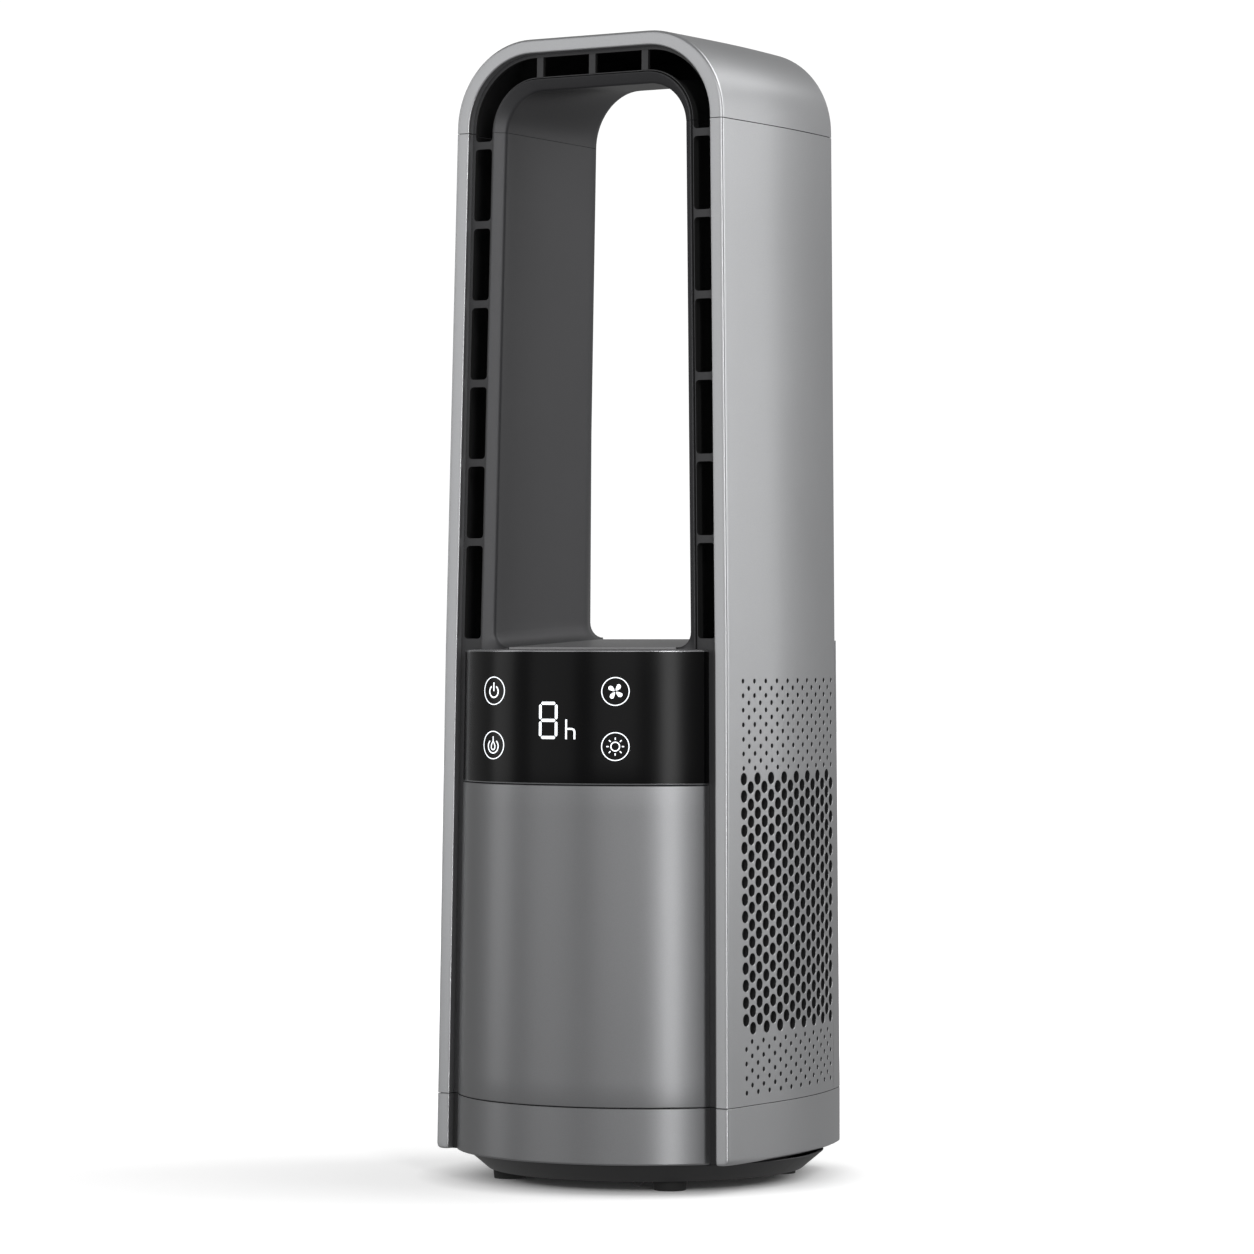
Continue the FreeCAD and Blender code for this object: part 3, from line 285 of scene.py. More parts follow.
# %% dress the frame
FINISH_OF_SLOT = {
    "satin_cover": silver_paint,
    "black_panel": black_window,
    "dark_grille": grille_plastic,
    "dark_inner": inner_plastic,
    "dark_foot": foot_plastic,
    "rubber": pad_rubber,
    "screen_fabric": screen_mesh,
    "steel": steel,
    "screw_steel": dark_steel,
    "white_acetal": pale_acetal,
    "black_plastic": hidden_plastic,
    "aluminium": aluminium,
    "lit_display": lit_symbol,
    "circuit_board": board_green,
}
for part in frame["record"]["subparts"]:
    slots = nodes[part["node"]].material_slots
    for material_slot in slots:
        material_slot.material = FINISH_OF_SLOT[part["material_slot"]]
nodes["front_cover"].material_slots[0].material = grey_paint
# The saddle takes the painted reflection.
nodes["saddle_cover"].material_slots[0].material = saddle_painted_reflection

# %% [markdown]
# ## The rules of the shell
# The tower is drawn by a few rules: how wide it is at each height, how the sides curve in towards
# the back, how the front leans, and how the corner of the loop gets tighter as we go inwards.
# A place on the loop is then given by how deep it lies behind the front and how far in from the
# outer surface. These sums are in millimetres, like a drawing.

# %% shell rules
MM = 0.001
LOW_SEAM, BODY_TOP, TOP_SEAM, HEIGHT = 45.2, 286.0, 561.6, 610.0
HALF_GAP = 0.2
HALF_WIDTH = {LOW_SEAM: 91.4, BODY_TOP: 88.7, TOP_SEAM: 83.5}
CURVATURE = {LOW_SEAM: 1 / 275, BODY_TOP: 1 / 380, TOP_SEAM: 1 / 600}
FLAT_Y, BULGE_START, SIDE_END = -60.0, -15.0, 66.0
ARCH_RADIUS, ARCH_SHRINK = 46.0, 0.85
WALL, FLANGE, RECESS = 2.5, 7.7, 4.5


def between(table, z):
    """A value that runs straight between the heights of a table."""
    knots = sorted(table)
    low, high = (knots[0], knots[1]) if z <= knots[1] else (knots[1], knots[2])
    return table[low] + (z - low) / (high - low) * (table[high] - table[low])


def front_plane(z):
    return 65.6 - 0.0139 * (z - LOW_SEAM)


def side_x(y, z):
    run = max(0.0, y - BULGE_START)
    radius = 1 / between(CURVATURE, min(z, TOP_SEAM))
    width = between(HALF_WIDTH, min(z, TOP_SEAM + ARCH_RADIUS))
    return width - (radius - math.sqrt(radius**2 - run**2))


def face_radius(z):
    return 101.8 - 0.01703 * (z - LOW_SEAM)


def leg_point(depth, offset, z):
    y = depth - front_plane(z)
    return Vector((side_x(y, z) - offset, y, z))


def arch_start(offset):
    """Radius of the loop's corner at an offset, and the height where it starts."""
    radius = ARCH_RADIUS - ARCH_SHRINK * offset
    return radius, HEIGHT - offset - radius


def arch_point(depth, offset, angle):
    radius, start = arch_start(offset)
    side = side_x(depth - front_plane(start), start) - offset
    z = start + radius * math.sin(angle)
    return Vector((side - radius + radius * math.cos(angle), depth - front_plane(z), z))


def flipped(point):
    return Vector((-point[0], point[1], point[2]))


def rounded(first, corner, last, steps=4):
    """Points of a soft corner between two points."""
    a, b, c = Vector(first), Vector(corner), Vector(last)
    shares = [i / steps for i in range(steps + 1)]
    return [tuple(a * (1 - t) ** 2 + b * 2 * t * (1 - t) + c * t * t) for t in shares]


seams = (LOW_SEAM, BODY_TOP, TOP_SEAM)
print("half width at the seams:", [round(side_x(FLAT_Y, z), 1) for z in seams])

# %% [markdown]
# ## From points to a piece
# Most of the shell is a grid: rows of points that are joined to the next row. A small collector
# keeps the points and faces, welds what meets, and marks an edge as sharp where the surface turns.


# %% piece collector
class Piece:
    """Collects surfaces in millimetres and becomes one object."""

    def __init__(self):
        self.points, self.faces, self.tones = [], [], []

    def add(self, point):
        self.points.append(tuple(point))
        return len(self.points) - 1

    def face(self, corners, tone=0):
        self.faces.append(tuple(corners))
        self.tones.append(tone)

    def grid(self, rows, round_trip=False, tone=0):
        """Joins equal rows of points; round_trip also joins each row's end to its start."""
        index = [[self.add(p) for p in row] for row in rows]
        count = len(index[0])
        last = count if round_trip else count - 1
        for i in range(len(index) - 1):
            for j in range(last):
                k = (j + 1) % count
                shade = tone(i, j) if callable(tone) else tone
                self.face((index[i][j], index[i][k], index[i + 1][k], index[i + 1][j]), shade)
        return index

    def bar(self, rows, tone, end_tone, round_trip=True):
        """A grid whose first and last rows are filled as ends."""
        index = self.grid(rows, round_trip, tone)
        self.face(index[0], end_tone)
        self.face(list(reversed(index[-1])), end_tone)

    def cap(self, outer, inner, tone=0, closed=True):
        """Closes the end between two lines of points that were already added."""
        for j in range(len(outer) if closed else len(outer) - 1):
            k = (j + 1) % len(outer)
            self.face((outer[j], outer[k], inner[k], inner[j]), tone)

    def build(self, name, body, slot, materials, stands_for=(), sharp=32.0, mirror=False):
        mesh = bpy.data.meshes.new(name)
        sign = -1 if mirror else 1
        points = [(sign * x * MM, y * MM, z * MM) for x, y, z in self.points]
        mesh.from_pydata(points, [], self.faces)
        for material in materials:
            mesh.materials.append(material)
        mesh.polygons.foreach_set("material_index", self.tones)
        work = bmesh.new()
        work.from_mesh(mesh)
        bmesh.ops.remove_doubles(work, verts=work.verts, dist=1e-5)
        bmesh.ops.dissolve_degenerate(work, edges=work.edges, dist=1e-7)
        bmesh.ops.recalc_face_normals(work, faces=work.faces)
        work.to_mesh(mesh)
        work.free()
        for polygon in mesh.polygons:
            polygon.use_smooth = True
        mesh.set_sharp_from_angle(angle=math.radians(sharp))
        piece = bpy.data.objects.new(name, mesh)
        bpy.context.scene.collection.objects.link(piece)
        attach(piece, body)
        if stands_for:
            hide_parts(*stands_for)
        print(name, len(mesh.polygons), "faces")
        return piece


# %% [markdown]
# ## The perforated side covers
# Each side cover is a thin moulded skin with some 440 round holes for the intake: large ones in a
# staggered field, fine ones above and below it. Cutting that many holes with a boolean leaves
# ragged faces, so the skin is triangulated around the hole rings instead. Each hole has a soft
# lip, which is what catches the light.

# %% hole field
HOLE_FRONT = -46.0
BIG = {"radius": 3.25, "pitch": 7.0, "columns": 16, "rise": 9.0, "rows": 15, "low": 90.0}
FINE = {"radius": 1.3, "pitch": 5.85, "columns": 19, "rise": 7.6}
FINE_BANDS = ((221.6, 7, 6), (52.0, 4, 4))


def hole_places():
    """Centre and radius of each hole of a side."""
    places = []
    for column in range(BIG["columns"]):
        lift = -BIG["rise"] / 2 if column % 2 else 0.0
        y = HOLE_FRONT + column * BIG["pitch"]
        for row in range(BIG["rows"]):
            places.append((y, BIG["low"] + lift + row * BIG["rise"], BIG["radius"]))
    for low, even_rows, odd_rows in FINE_BANDS:
        for column in range(FINE["columns"]):
            odd = column % 2
            y = HOLE_FRONT + column * FINE["pitch"]
            lift = low + odd * FINE["rise"] / 2
            for row in range(odd_rows if odd else even_rows):
                places.append((y, lift + row * FINE["rise"], FINE["radius"]))
    return places


holes = hole_places()
print("holes on each side:", len(holes))

# %% side cover levels
SIDE_LOW, SIDE_TOP = LOW_SEAM + HALF_GAP, TOP_SEAM - HALF_GAP
FINE_LOW, BIG_LOW, BIG_HIGH, FINE_HIGH = 48.5, 81.2, 219.7, 271
LEVELS = [SIDE_LOW, FINE_LOW, BIG_LOW, 110, 140, 170, 200, BIG_HIGH, 245, FINE_HIGH, BODY_TOP]
LEVELS += [BODY_TOP + 27.5 * i for i in range(1, 10)] + [SIDE_TOP]
SKIN_FRONT = 2.2
REAR_SOFT = 0.6
BIG_LIP, FINE_LIP = 0.2, 0.16
RIM_OUTER_ROUND, RIM_INNER_ROUND, LIP_INSIDE, LIP_DEEP = 1.8, 1.1, 5.9, 4.4


def rim_profile():
    """Depth and offset round the bright front rim, from the outer skin to the inner skin."""
    outer = rounded((RIM_OUTER_ROUND, 0), (0, 0), (0, RIM_OUTER_ROUND), 6)
    flange_bend = FLANGE - RIM_INNER_ROUND
    inner = rounded((0, flange_bend), (0, FLANGE), (RIM_INNER_ROUND, FLANGE), 5)
    lip = [(LIP_DEEP, FLANGE), (LIP_DEEP, LIP_INSIDE), (2.6, LIP_INSIDE), (SKIN_FRONT, WALL)]
    return [(SKIN_FRONT, 0)] + outer + inner + lip


def rim_tone(row, column):
    """The last four strips face inwards and show the bare plastic."""
    return 1 if column >= len(rim_profile()) - 4 else 0


# %% triangulate the skin round the holes
def lip_of(radius):
    return BIG_LIP if radius > 2 else FINE_LIP


def ring(centre_y, centre_z, radius):
    count = 20 if radius > 2 else 12
    turn = [2 * math.pi * i / count for i in range(count)]
    return [(centre_y + radius * math.cos(a), centre_z + radius * math.sin(a)) for a in turn]


def loop_edges(first, count):
    return [(first + i, first + (i + 1) % count) for i in range(count)]


def triangulated(points, edges, opening_of):
    """Triangles between the outline and the openings, and the openings each point lies on."""
    found = delaunay_2d_cdt([Vector(p) for p in points], edges, [], 1, 1e-4)
    flat, triangles, origin = found[0], found[2], found[3]
    on = [{opening_of[k] for k in sources if k in opening_of} for sources in origin]
    kept = [t for t in triangles if not set.intersection(*(on[v] for v in t))]
    return flat, kept, on


def open_edges(triangles):
    """The edges that belong to one triangle only."""
    seen = {}
    for a, b, c in triangles:
        for pair in ((a, b), (b, c), (c, a)):
            key = tuple(sorted(pair))
            seen[key] = seen.get(key, 0) + 1
    return [pair for pair, count in seen.items() if count == 1]


def skin_plan():
    """Flat (y, z) triangulation of the side skin: points, triangles and hole rings."""
    front = [(SKIN_FRONT - front_plane(z), z) for z in LEVELS]
    rear_y = SIDE_END - REAR_SOFT
    columns = {}
    for field in (BIG, FINE):
        starts = [HOLE_FRONT + (k - 0.5) * field["pitch"] for k in range(field["columns"] + 1)]
        columns[field["pitch"]] = starts
    low_edge = [(y, SIDE_LOW) for y in reversed(columns[FINE["pitch"]])]
    points = front + [(rear_y, z) for z in reversed(LEVELS)] + low_edge
    edges = loop_edges(0, len(points))
    hole_of = {}
    for number, (y, z, radius) in enumerate(holes):
        first = len(points)
        loop = ring(y, z, radius + lip_of(radius))
        points += loop
        hole_of.update({first + i: number for i in range(len(loop))})
        edges += loop_edges(first, len(loop))

    def line(a, b):
        points.extend([a, b])
        edges.append((len(points) - 2, len(points) - 1))

    for z in LEVELS[1:-1]:
        if z in (FINE_LOW, BIG_LOW, BIG_HIGH) or z >= FINE_HIGH:
            line((SKIN_FRONT - front_plane(z), z), (rear_y, z))
    for y in columns[BIG["pitch"]]:
        line((y, BIG_LOW), (y, BIG_HIGH))
    for y in columns[FINE["pitch"]]:
        line((y, SIDE_LOW), (y, BIG_LOW))
        line((y, BIG_HIGH), (y, FINE_HIGH))
    for k in range(14):
        y = -54 + 9 * k
        if y < rear_y - 1:
            line((y, FINE_HIGH), (y, SIDE_TOP))
    flat, kept, holes_at = triangulated(points, edges, hole_of)
    rings = {}
    for vertex, numbers in enumerate(holes_at):
        for number in numbers:
            rings.setdefault(number, []).append(vertex)
    return flat, kept, rings


flat_points, flat_triangles, hole_rings = skin_plan()
print("skin triangles:", len(flat_triangles), "rings:", len(hole_rings))


# %% build a side cover
def side_cover():
    piece = Piece()

    def lifted(y, z, inset):
        return (side_x(y, z) - inset, y, z)

    outer = [piece.add(lifted(p.x, p.y, 0)) for p in flat_points]
    inner = [piece.add(lifted(p.x, p.y, WALL)) for p in flat_points]
    for number, members in hole_rings.items():
        y0, z0, radius = holes[number]
        members.sort(key=lambda v: math.atan2(flat_points[v].y - z0, flat_points[v].x - y0))
        middle = Vector((y0, z0))
        ways = [(flat_points[v] - middle).normalized() for v in members]
        lips, lip = [], lip_of(radius)
        for grow, inset in ((0.3 * lip, 0.4 * lip), (0, lip), (0, WALL)):
            edge = [middle + way * (radius + grow) for way in ways]
            lips.append([piece.add(lifted(p.x, p.y, inset)) for p in edge])
        for v, replacement in zip(members, lips[-1]):
            inner[v] = replacement
        around = [[outer[v] for v in members]] + lips
        for i, (near, far) in enumerate(zip(around, around[1:])):
            piece.cap(near, far, 0 if i < 2 else 1)
    for a, b, c in flat_triangles:
        piece.face((outer[a], outer[b], outer[c]), 0)
        piece.face((inner[c], inner[b], inner[a]), 1)
    on_hole = {v for members in hole_rings.values() for v in members}
    border_mid = {}
    for a, b in open_edges(flat_triangles):
        at_rim = flat_points[a].x < -50 and flat_points[b].x < -50
        if at_rim or (a in on_hole and b in on_hole):
            continue
        for v in (a, b):
            if v not in border_mid:
                p = flat_points[v]
                edge = REAR_SOFT if p.x > SIDE_END - 1 else 0.0
                border_mid[v] = piece.add(lifted(p.x + edge, p.y, edge))
        piece.face((outer[a], outer[b], border_mid[b], border_mid[a]), 0)
        piece.face((border_mid[a], border_mid[b], inner[b], inner[a]), 1)
    profile = rim_profile()
    rows = [[leg_point(d, t, z) for d, t in profile] for z in LEVELS]
    piece.bar(rows, rim_tone, 0, round_trip=False)
    return piece


for side, mirror in (("right", False), ("left", True)):
    side_cover().build(
        f"{side}_side_shell", "tower", "satin_cover", [silver_paint, hidden_plastic],
        [f"{side}_side_cover"], sharp=26.0, mirror=mirror,
    )

# %% [markdown]
# ## The top arch
# The arch carries the same rim round both corners. It is one profile moved along the loop, from
# the seam on one side, over the top, to the seam on the other.

# %% stations along the arch
CORNER_STEPS, TOP_STEPS = 20, 6


def arch_row(depth_of, offset, seam):
    """Points along the arch at one offset, from the right seam to the left seam."""
    radius, start = arch_start(offset)
    first = math.asin(max(0.0, seam - start) / radius)
    angles = [first + (math.pi / 2 - first) * i / CORNER_STEPS for i in range(CORNER_STEPS + 1)]
    right = []
    for a in angles:
        z = start + radius * math.sin(a)
        right.append(arch_point(depth_of(z), offset, a))
    right.insert(0, leg_point(depth_of(seam), offset, seam) if start > seam else right[0])
    middle = []
    for i in range(1, TOP_STEPS):
        share = 1 - 2 * i / TOP_STEPS
        middle.append(Vector((right[-1].x * share, right[-1].y, right[-1].z)))
    return right + middle + [flipped(p) for p in reversed(right)]


def fixed(depth):
    return lambda z: depth


def towards_rear(share):
    """Depth of a share of the way from the front edge to the flat rear edge."""
    return lambda z: SKIN_FRONT + share * (SIDE_END + front_plane(z) - SKIN_FRONT)


def one_or_other(first, end):
    """Tone 1 from one column to the next named one, and 0 elsewhere."""
    return lambda i, j: 1 if first <= j < end else 0


print("arch corner at the rim:", arch_start(0.0))

# %% top cap
SKIN_SHARES = (1.0, 0.88, 0.75, 0.62, 0.5, 0.38, 0.25, 0.12)
cap_seam = TOP_SEAM + HALF_GAP
cap = Piece()
tracks = [(fixed(d), t) for d, t in rim_profile()]
tracks += [(towards_rear(share), WALL) for share in reversed(SKIN_SHARES[1:])]
tracks += [(towards_rear(1.0), WALL), (towards_rear(1.0), 0.7), (towards_rear(0.995), 0.0)]
tracks += [(towards_rear(share), 0.0) for share in SKIN_SHARES[1:]]
inside_from = len(rim_profile()) - 3
inside_to = len(rim_profile()) + len(SKIN_SHARES)
arch_rows = [arch_row(depth_of, offset, cap_seam) for depth_of, offset in tracks]
stations = [list(column) for column in zip(*arch_rows)]
cap.bar(stations, one_or_other(inside_from, inside_to), 1)
cap.build("top_arch_shell", "tower", "satin_cover", [silver_paint, hidden_plastic], ["top_cap"])

# %% [markdown]
# ## The round front
# The grey front cover and the black window share one rule: a round front with square sides that go
# back into the recess. Each row of points runs round the outside and back along the inside, and
# the first and last rows are drawn in a little, so every edge is soft.

# %% round front parts
FACE_SOFT = 1.2
FACE_STEPS = 44


def face_edge(z):
    return math.sqrt(face_radius(z) ** 2 - front_plane(z) ** 2)


def rounded_plan(first, corner, last, steps):
    return [p[:2] for p in rounded((*first, 0), (*corner, 0), (*last, 0), steps)]


def face_half(z, inward, back):
    """Plan points from the right rear edge, round the front, to the left rear edge."""
    edge, radius = face_edge(z) - inward, face_radius(z) - inward
    turn = math.asin(edge / radius)
    bend = turn - FACE_SOFT / radius
    y_edge = -radius * math.cos(turn)
    start = (radius * math.sin(bend), -radius * math.cos(bend))
    right = [(edge, back)]
    right += rounded_plan((edge, y_edge + FACE_SOFT), (edge, y_edge), start, 5)
    middle = []
    for i in range(1, FACE_STEPS):
        a = bend * (1 - 2 * i / FACE_STEPS)
        middle.append((radius * math.sin(a), -radius * math.cos(a)))
    return right + middle + [(-x, y) for x, y in reversed(right)]


def face_part(rows, thickness, edge_tone=0):
    """rows are (height, inward) pairs, bottom to top; edge_tone colours the soft edges, and on the
    window it is a painted highlight.
    """
    piece = Piece()
    loops = []
    for z, inward in rows:
        back = 4.2 - front_plane(z)
        outer = [(x, y, z) for x, y in face_half(z, inward, back)]
        inner = [(x, y, z) for x, y in face_half(z, inward + thickness, back)]
        loops.append(outer + list(reversed(inner)))
    half = len(loops[0]) // 2
    edges = set(range(5)) | set(range(len(rows) - 6, len(rows)))

    def tone(i, j):
        if j >= half - 1:
            return 1
        return edge_tone if i in edges else 0

    index = piece.grid(loops, round_trip=True, tone=tone)
    for ring_index in (index[0], index[-1]):
        piece.cap(ring_index[:half], list(reversed(ring_index[half:])), closed=False)
    return piece


def soft_rows(low, high, soft_low, soft_high, middle=()):
    """Rows with a rounded lower and upper edge."""
    turn = [math.pi / 2 * i / 5 for i in range(6)]
    rows = [(low + soft_low * (1 - math.cos(a)), soft_low * (1 - math.sin(a))) for a in turn]
    rows += [(z, 0.0) for z in middle]
    rows += [(high - soft_high * (1 - math.sin(a)), soft_high * (1 - math.cos(a))) for a in turn]
    return rows


PANEL_LOW, PANEL_TOP = 213.0, 284.0
levels = [LOW_SEAM + 14 * i for i in range(1, 12)]
front_rows = soft_rows(LOW_SEAM + HALF_GAP, PANEL_LOW - HALF_GAP, 0.5, 0.5, levels)
face_part(front_rows, 2.2).build(
    "front_cover_shell", "tower", "satin_cover", [grey_paint, hidden_plastic], ["front_cover"]
)
panel_rows = soft_rows(PANEL_LOW + HALF_GAP, PANEL_TOP, 0.7, 1.3, [228, 243, 258, 270])
# The window's soft edges use tone 2, the painted highlight.
face_part(panel_rows, 2.6, 2).build(
    "window_shell", "tower", "black_panel", [black_window, hidden_plastic, window_edge_highlight],
    ["display_panel"],
)

# %% [markdown]
# ## The base ring
# The lowest ring carries on the lines above it: the round front in the deep tone, the dark recess
# on each side of it, the bright rim, the bulged sides and the bowed back. One outline in plan says
# it all, and each outline point has a partner on the inner side of the wall.

# %% plan of the base ring
RING_LOW = 15.4
STRIP_ROUND, FRONT_ROUND = 3.0, 0.8
REAR_JOIN, REAR_CORNER, REAR_CORNER_TOP = 80.5, 25.0, 12.0
REAR_CORNER_END = math.radians(84)


def rounding(radius, rise):
    """How far an edge of that radius draws in at a height above its lower end."""
    gap = max(0.0, radius - rise)
    return radius - math.sqrt(radius**2 - gap**2)


def heading(angle):
    return Vector((math.cos(angle), math.sin(angle)))


def ring_plan(z, inward=0.0):
    """Pairs of outer and inner plan points with their tone, from the front centre to the back."""
    pairs = []
    strip = inward + rounding(STRIP_ROUND, z - RING_LOW)
    inward += rounding(FRONT_ROUND, z - RING_LOW)
    front = -front_plane(z)
    half = face_half(z, inward, RECESS + front)
    inner_half = face_half(z, WALL, 7.0 + front)
    middle = len(half) // 2
    for outer, inner in zip(reversed(half[: middle + 1]), reversed(inner_half[: middle + 1])):
        pairs.append((outer, inner, 0))
    width = side_x(FLAT_Y, z)
    bar = (width - FLANGE, RECESS + front)
    pairs[-1] = (pairs[-1][0], pairs[-1][1], 1)
    deep = (width - WALL, 7.0 + front)
    pairs.append((bar, deep, 2))
    flange, bend = width - FLANGE, width - (FLANGE - RIM_INNER_ROUND)
    soft = RIM_OUTER_ROUND
    rim = rounded_plan((flange, front + RIM_INNER_ROUND), (flange, front), (bend, front), 5)
    rim += rounded_plan((width - soft, front), (width, front), (width, front + soft), 6)
    for x, y in rim:
        draw = strip if x > width - 5 else -0.3 * strip
        pairs.append(((x - draw, y + inward), deep, 2))
    for i in range(1, 6):
        share = (i / 5) ** 2
        y = front + 2.6 + share * (BULGE_START - front - 2.6)
        draw = inward + (strip - inward) * (1 - i / 5) ** 2
        pairs.append(((width - draw, y), (width - WALL, max(y, deep[1])), 2))
    bulge = 1 / between(CURVATURE, z)
    share = (z - LOW_SEAM) / (BODY_TOP - LOW_SEAM)
    join = REAR_JOIN + share * (SIDE_END - REAR_JOIN)
    corner = REAR_CORNER + share * (REAR_CORNER_TOP - REAR_CORNER)
    for i in range(1, 9):
        y = BULGE_START + i * (join - BULGE_START) / 8
        slope = math.asin((y - BULGE_START) / bulge)
        place, way = Vector((side_x(y, z), y)), heading(slope)
        pairs.append((tuple(place - way * inward), tuple(place - way * WALL), 2))
    turn = math.asin((join - BULGE_START) / bulge)
    centre = Vector((side_x(join, z), join)) - heading(turn) * corner

    def sweep(hub, radius, first, last, steps):
        for i in range(1, steps + 1):
            way = heading(first + (last - first) * i / steps)
            outer, inner = hub + way * (radius - inward), hub + way * (radius - WALL)
            pairs.append((tuple(outer), tuple(inner), 2))

    sweep(centre, corner, turn, REAR_CORNER_END, 10)
    tip = centre + heading(REAR_CORNER_END) * corner
    bow = tip.x / math.cos(REAR_CORNER_END)
    hub = Vector((0, tip.y - bow * math.sin(REAR_CORNER_END)))
    sweep(hub, bow, REAR_CORNER_END, math.pi / 2, 12)
    return pairs


print("points on half of the ring:", len(ring_plan(LOW_SEAM)))


# %% build the base ring
RISES = (0, 0.06, 0.2, 0.45, 0.8, 1.2, 1.7, 2.3, 3.0, 3.6, 8.0, 15.0)
RING_TOP = LOW_SEAM - HALF_GAP
ring_rows = [(RING_LOW + rise, 0.0) for rise in RISES]
ring_rows += [(RING_TOP - 0.8, 0.0), (RING_TOP - 0.25, 0.0), (RING_TOP, 0.2)]
base = Piece()
outer_rows, inner_rows = [], []
for z, inward in ring_rows:
    pairs = ring_plan(z, inward)
    right_out = [(a[0], a[1], z) for a, b, t in pairs]
    right_in = [(b[0], b[1], z) for a, b, t in pairs]
    outer_rows.append(right_out + [(-x, y, k) for x, y, k in reversed(right_out[1:-1])])
    inner_rows.append(right_in + [(-x, y, k) for x, y, k in reversed(right_in[1:-1])])
tones = [t for a, b, t in ring_plan(30.0, 0.0)]
tones = tones[:-1] + list(reversed(tones[:-1]))
outer_index = base.grid(outer_rows, round_trip=True, tone=lambda i, j: tones[j])
inner_index = base.grid(inner_rows, round_trip=True, tone=1)
base.cap(outer_index[0], inner_index[0], tone=1)
base.cap(outer_index[-1], inner_index[-1], tone=1)
base_ring = base.build(
    "base_ring_shell", "tower", "satin_cover", [grey_paint, hidden_plastic, silver_paint],
    ["base_ring"],
)

# %% [markdown]
# The cable bush passes through the back of the ring, so the ring gets one clean round hole there.

# %% gland hole
DRILL_RADIUS, DRILL_LENGTH = 0.00765, 0.03
drill_mesh = bpy.data.meshes.new("drill")
drill_work = bmesh.new()
bmesh.ops.create_cone(
    drill_work, cap_ends=True, segments=64,
    radius1=DRILL_RADIUS, radius2=DRILL_RADIUS, depth=DRILL_LENGTH,
)
drill_work.to_mesh(drill_mesh)
drill_work.free()
drill = bpy.data.objects.new("drill", drill_mesh)
bpy.context.scene.collection.objects.link(drill)
drill.location, drill.rotation_euler = (0, 0.1, 0.03), (math.pi / 2, 0, 0)
cut = base_ring.modifiers.new("gland hole", "BOOLEAN")
cut.object, cut.operation, cut.solver = drill, "DIFFERENCE", "EXACT"
bpy.context.view_layer.update()
evaluated = base_ring.evaluated_get(bpy.context.evaluated_depsgraph_get())
holed = bpy.data.meshes.new_from_object(evaluated)
base_ring.modifiers.clear()
base_ring.data = holed
bpy.data.objects.remove(drill)
holed.set_sharp_from_angle(angle=math.radians(32))
print("base ring faces:", len(holed.polygons))

# %% [markdown]
# ## The outlet grille
# Dark plates lie behind the bright rim, and a long slot runs up each leg and over the top, cut
# into windows by thin ribs. The legs are triangulated round their rounded windows; the top is
# swept.

# %% leg grille
GRILLE_WALL = 2.0
PLATE_OUTER, PLATE_INNER = 2.8, 20.7
SLOT_OUTER, SLOT_INNER, SLOT_ROUND, HALF_RIB = 9.6, 20.2, 2.0, 2.0
RIBS = [341.6 + 42.7 * i for i in range(6)]
SLOT_ENDS = [289.6 - HALF_RIB] + RIBS


def quarter(offset, z, turn):
    """A quarter circle of a slot's corner, from an angle in degrees."""
    angles = [math.radians(turn + 18 * i) for i in range(6)]
    return [(offset + SLOT_ROUND * math.cos(a), z + SLOT_ROUND * math.sin(a)) for a in angles]


def window_outline(low, high=None):
    """Rounded rectangle in (offset, height); without a high end it runs open to the seam."""
    near, far = SLOT_INNER - SLOT_ROUND, SLOT_OUTER + SLOT_ROUND
    below = quarter(far, low + SLOT_ROUND, 180) + quarter(near, low + SLOT_ROUND, 270)
    if high is None:
        return [(SLOT_OUTER, SIDE_TOP)] + below + [(SLOT_INNER, SIDE_TOP)]
    return quarter(near, high - SLOT_ROUND, 0) + quarter(far, high - SLOT_ROUND, 90) + below


def leg_grille():
    points = [(PLATE_OUTER, z) for z in (SIDE_LOW, 130, 210, BODY_TOP, 380, 470, SIDE_TOP)]
    points += [(PLATE_INNER, z) for z in (SIDE_TOP, 470, 380, 283)]
    points += [(side_x(FLAT_Y, z) - 74.8, z) for z in (282.9, 210, 130, SIDE_LOW)]
    edges, window_of = loop_edges(0, len(points)), {}
    spans = [(low + HALF_RIB, high - HALF_RIB) for low, high in zip(SLOT_ENDS, SLOT_ENDS[1:])]
    spans.append((RIBS[-1] + HALF_RIB, None))
    for number, (low, high) in enumerate(spans):
        loop, first = window_outline(low, high), len(points)
        points += loop
        window_of.update({first + i: number for i in range(len(loop))})
        edges += loop_edges(first, len(loop))
    flat, kept, _ = triangulated(points, edges, window_of)
    piece = Piece()
    front = [piece.add(leg_point(RECESS, p.x, p.y)) for p in flat]
    back = [piece.add(leg_point(RECESS + GRILLE_WALL, p.x, p.y)) for p in flat]
    # The front is the dark grille plastic; the back and the slot walls carry painted shade.
    for a, b, c in kept:
        piece.face((front[a], front[b], front[c]), 0)
        piece.face((back[c], back[b], back[a]), 1)
    for a, b in open_edges(kept):
        piece.face((front[a], front[b], back[b], back[a]), 1)
    return piece


for side, mirror in (("right", False), ("left", True)):
    leg_grille().build(
        f"{side}_grille_plate", "tower", "dark_grille", [grille_plastic, painted_shade_black],
        [f"{side}_outlet_grille"], mirror=mirror,
    )

# %% top grille
GRILLE_BACK = RECESS + GRILLE_WALL
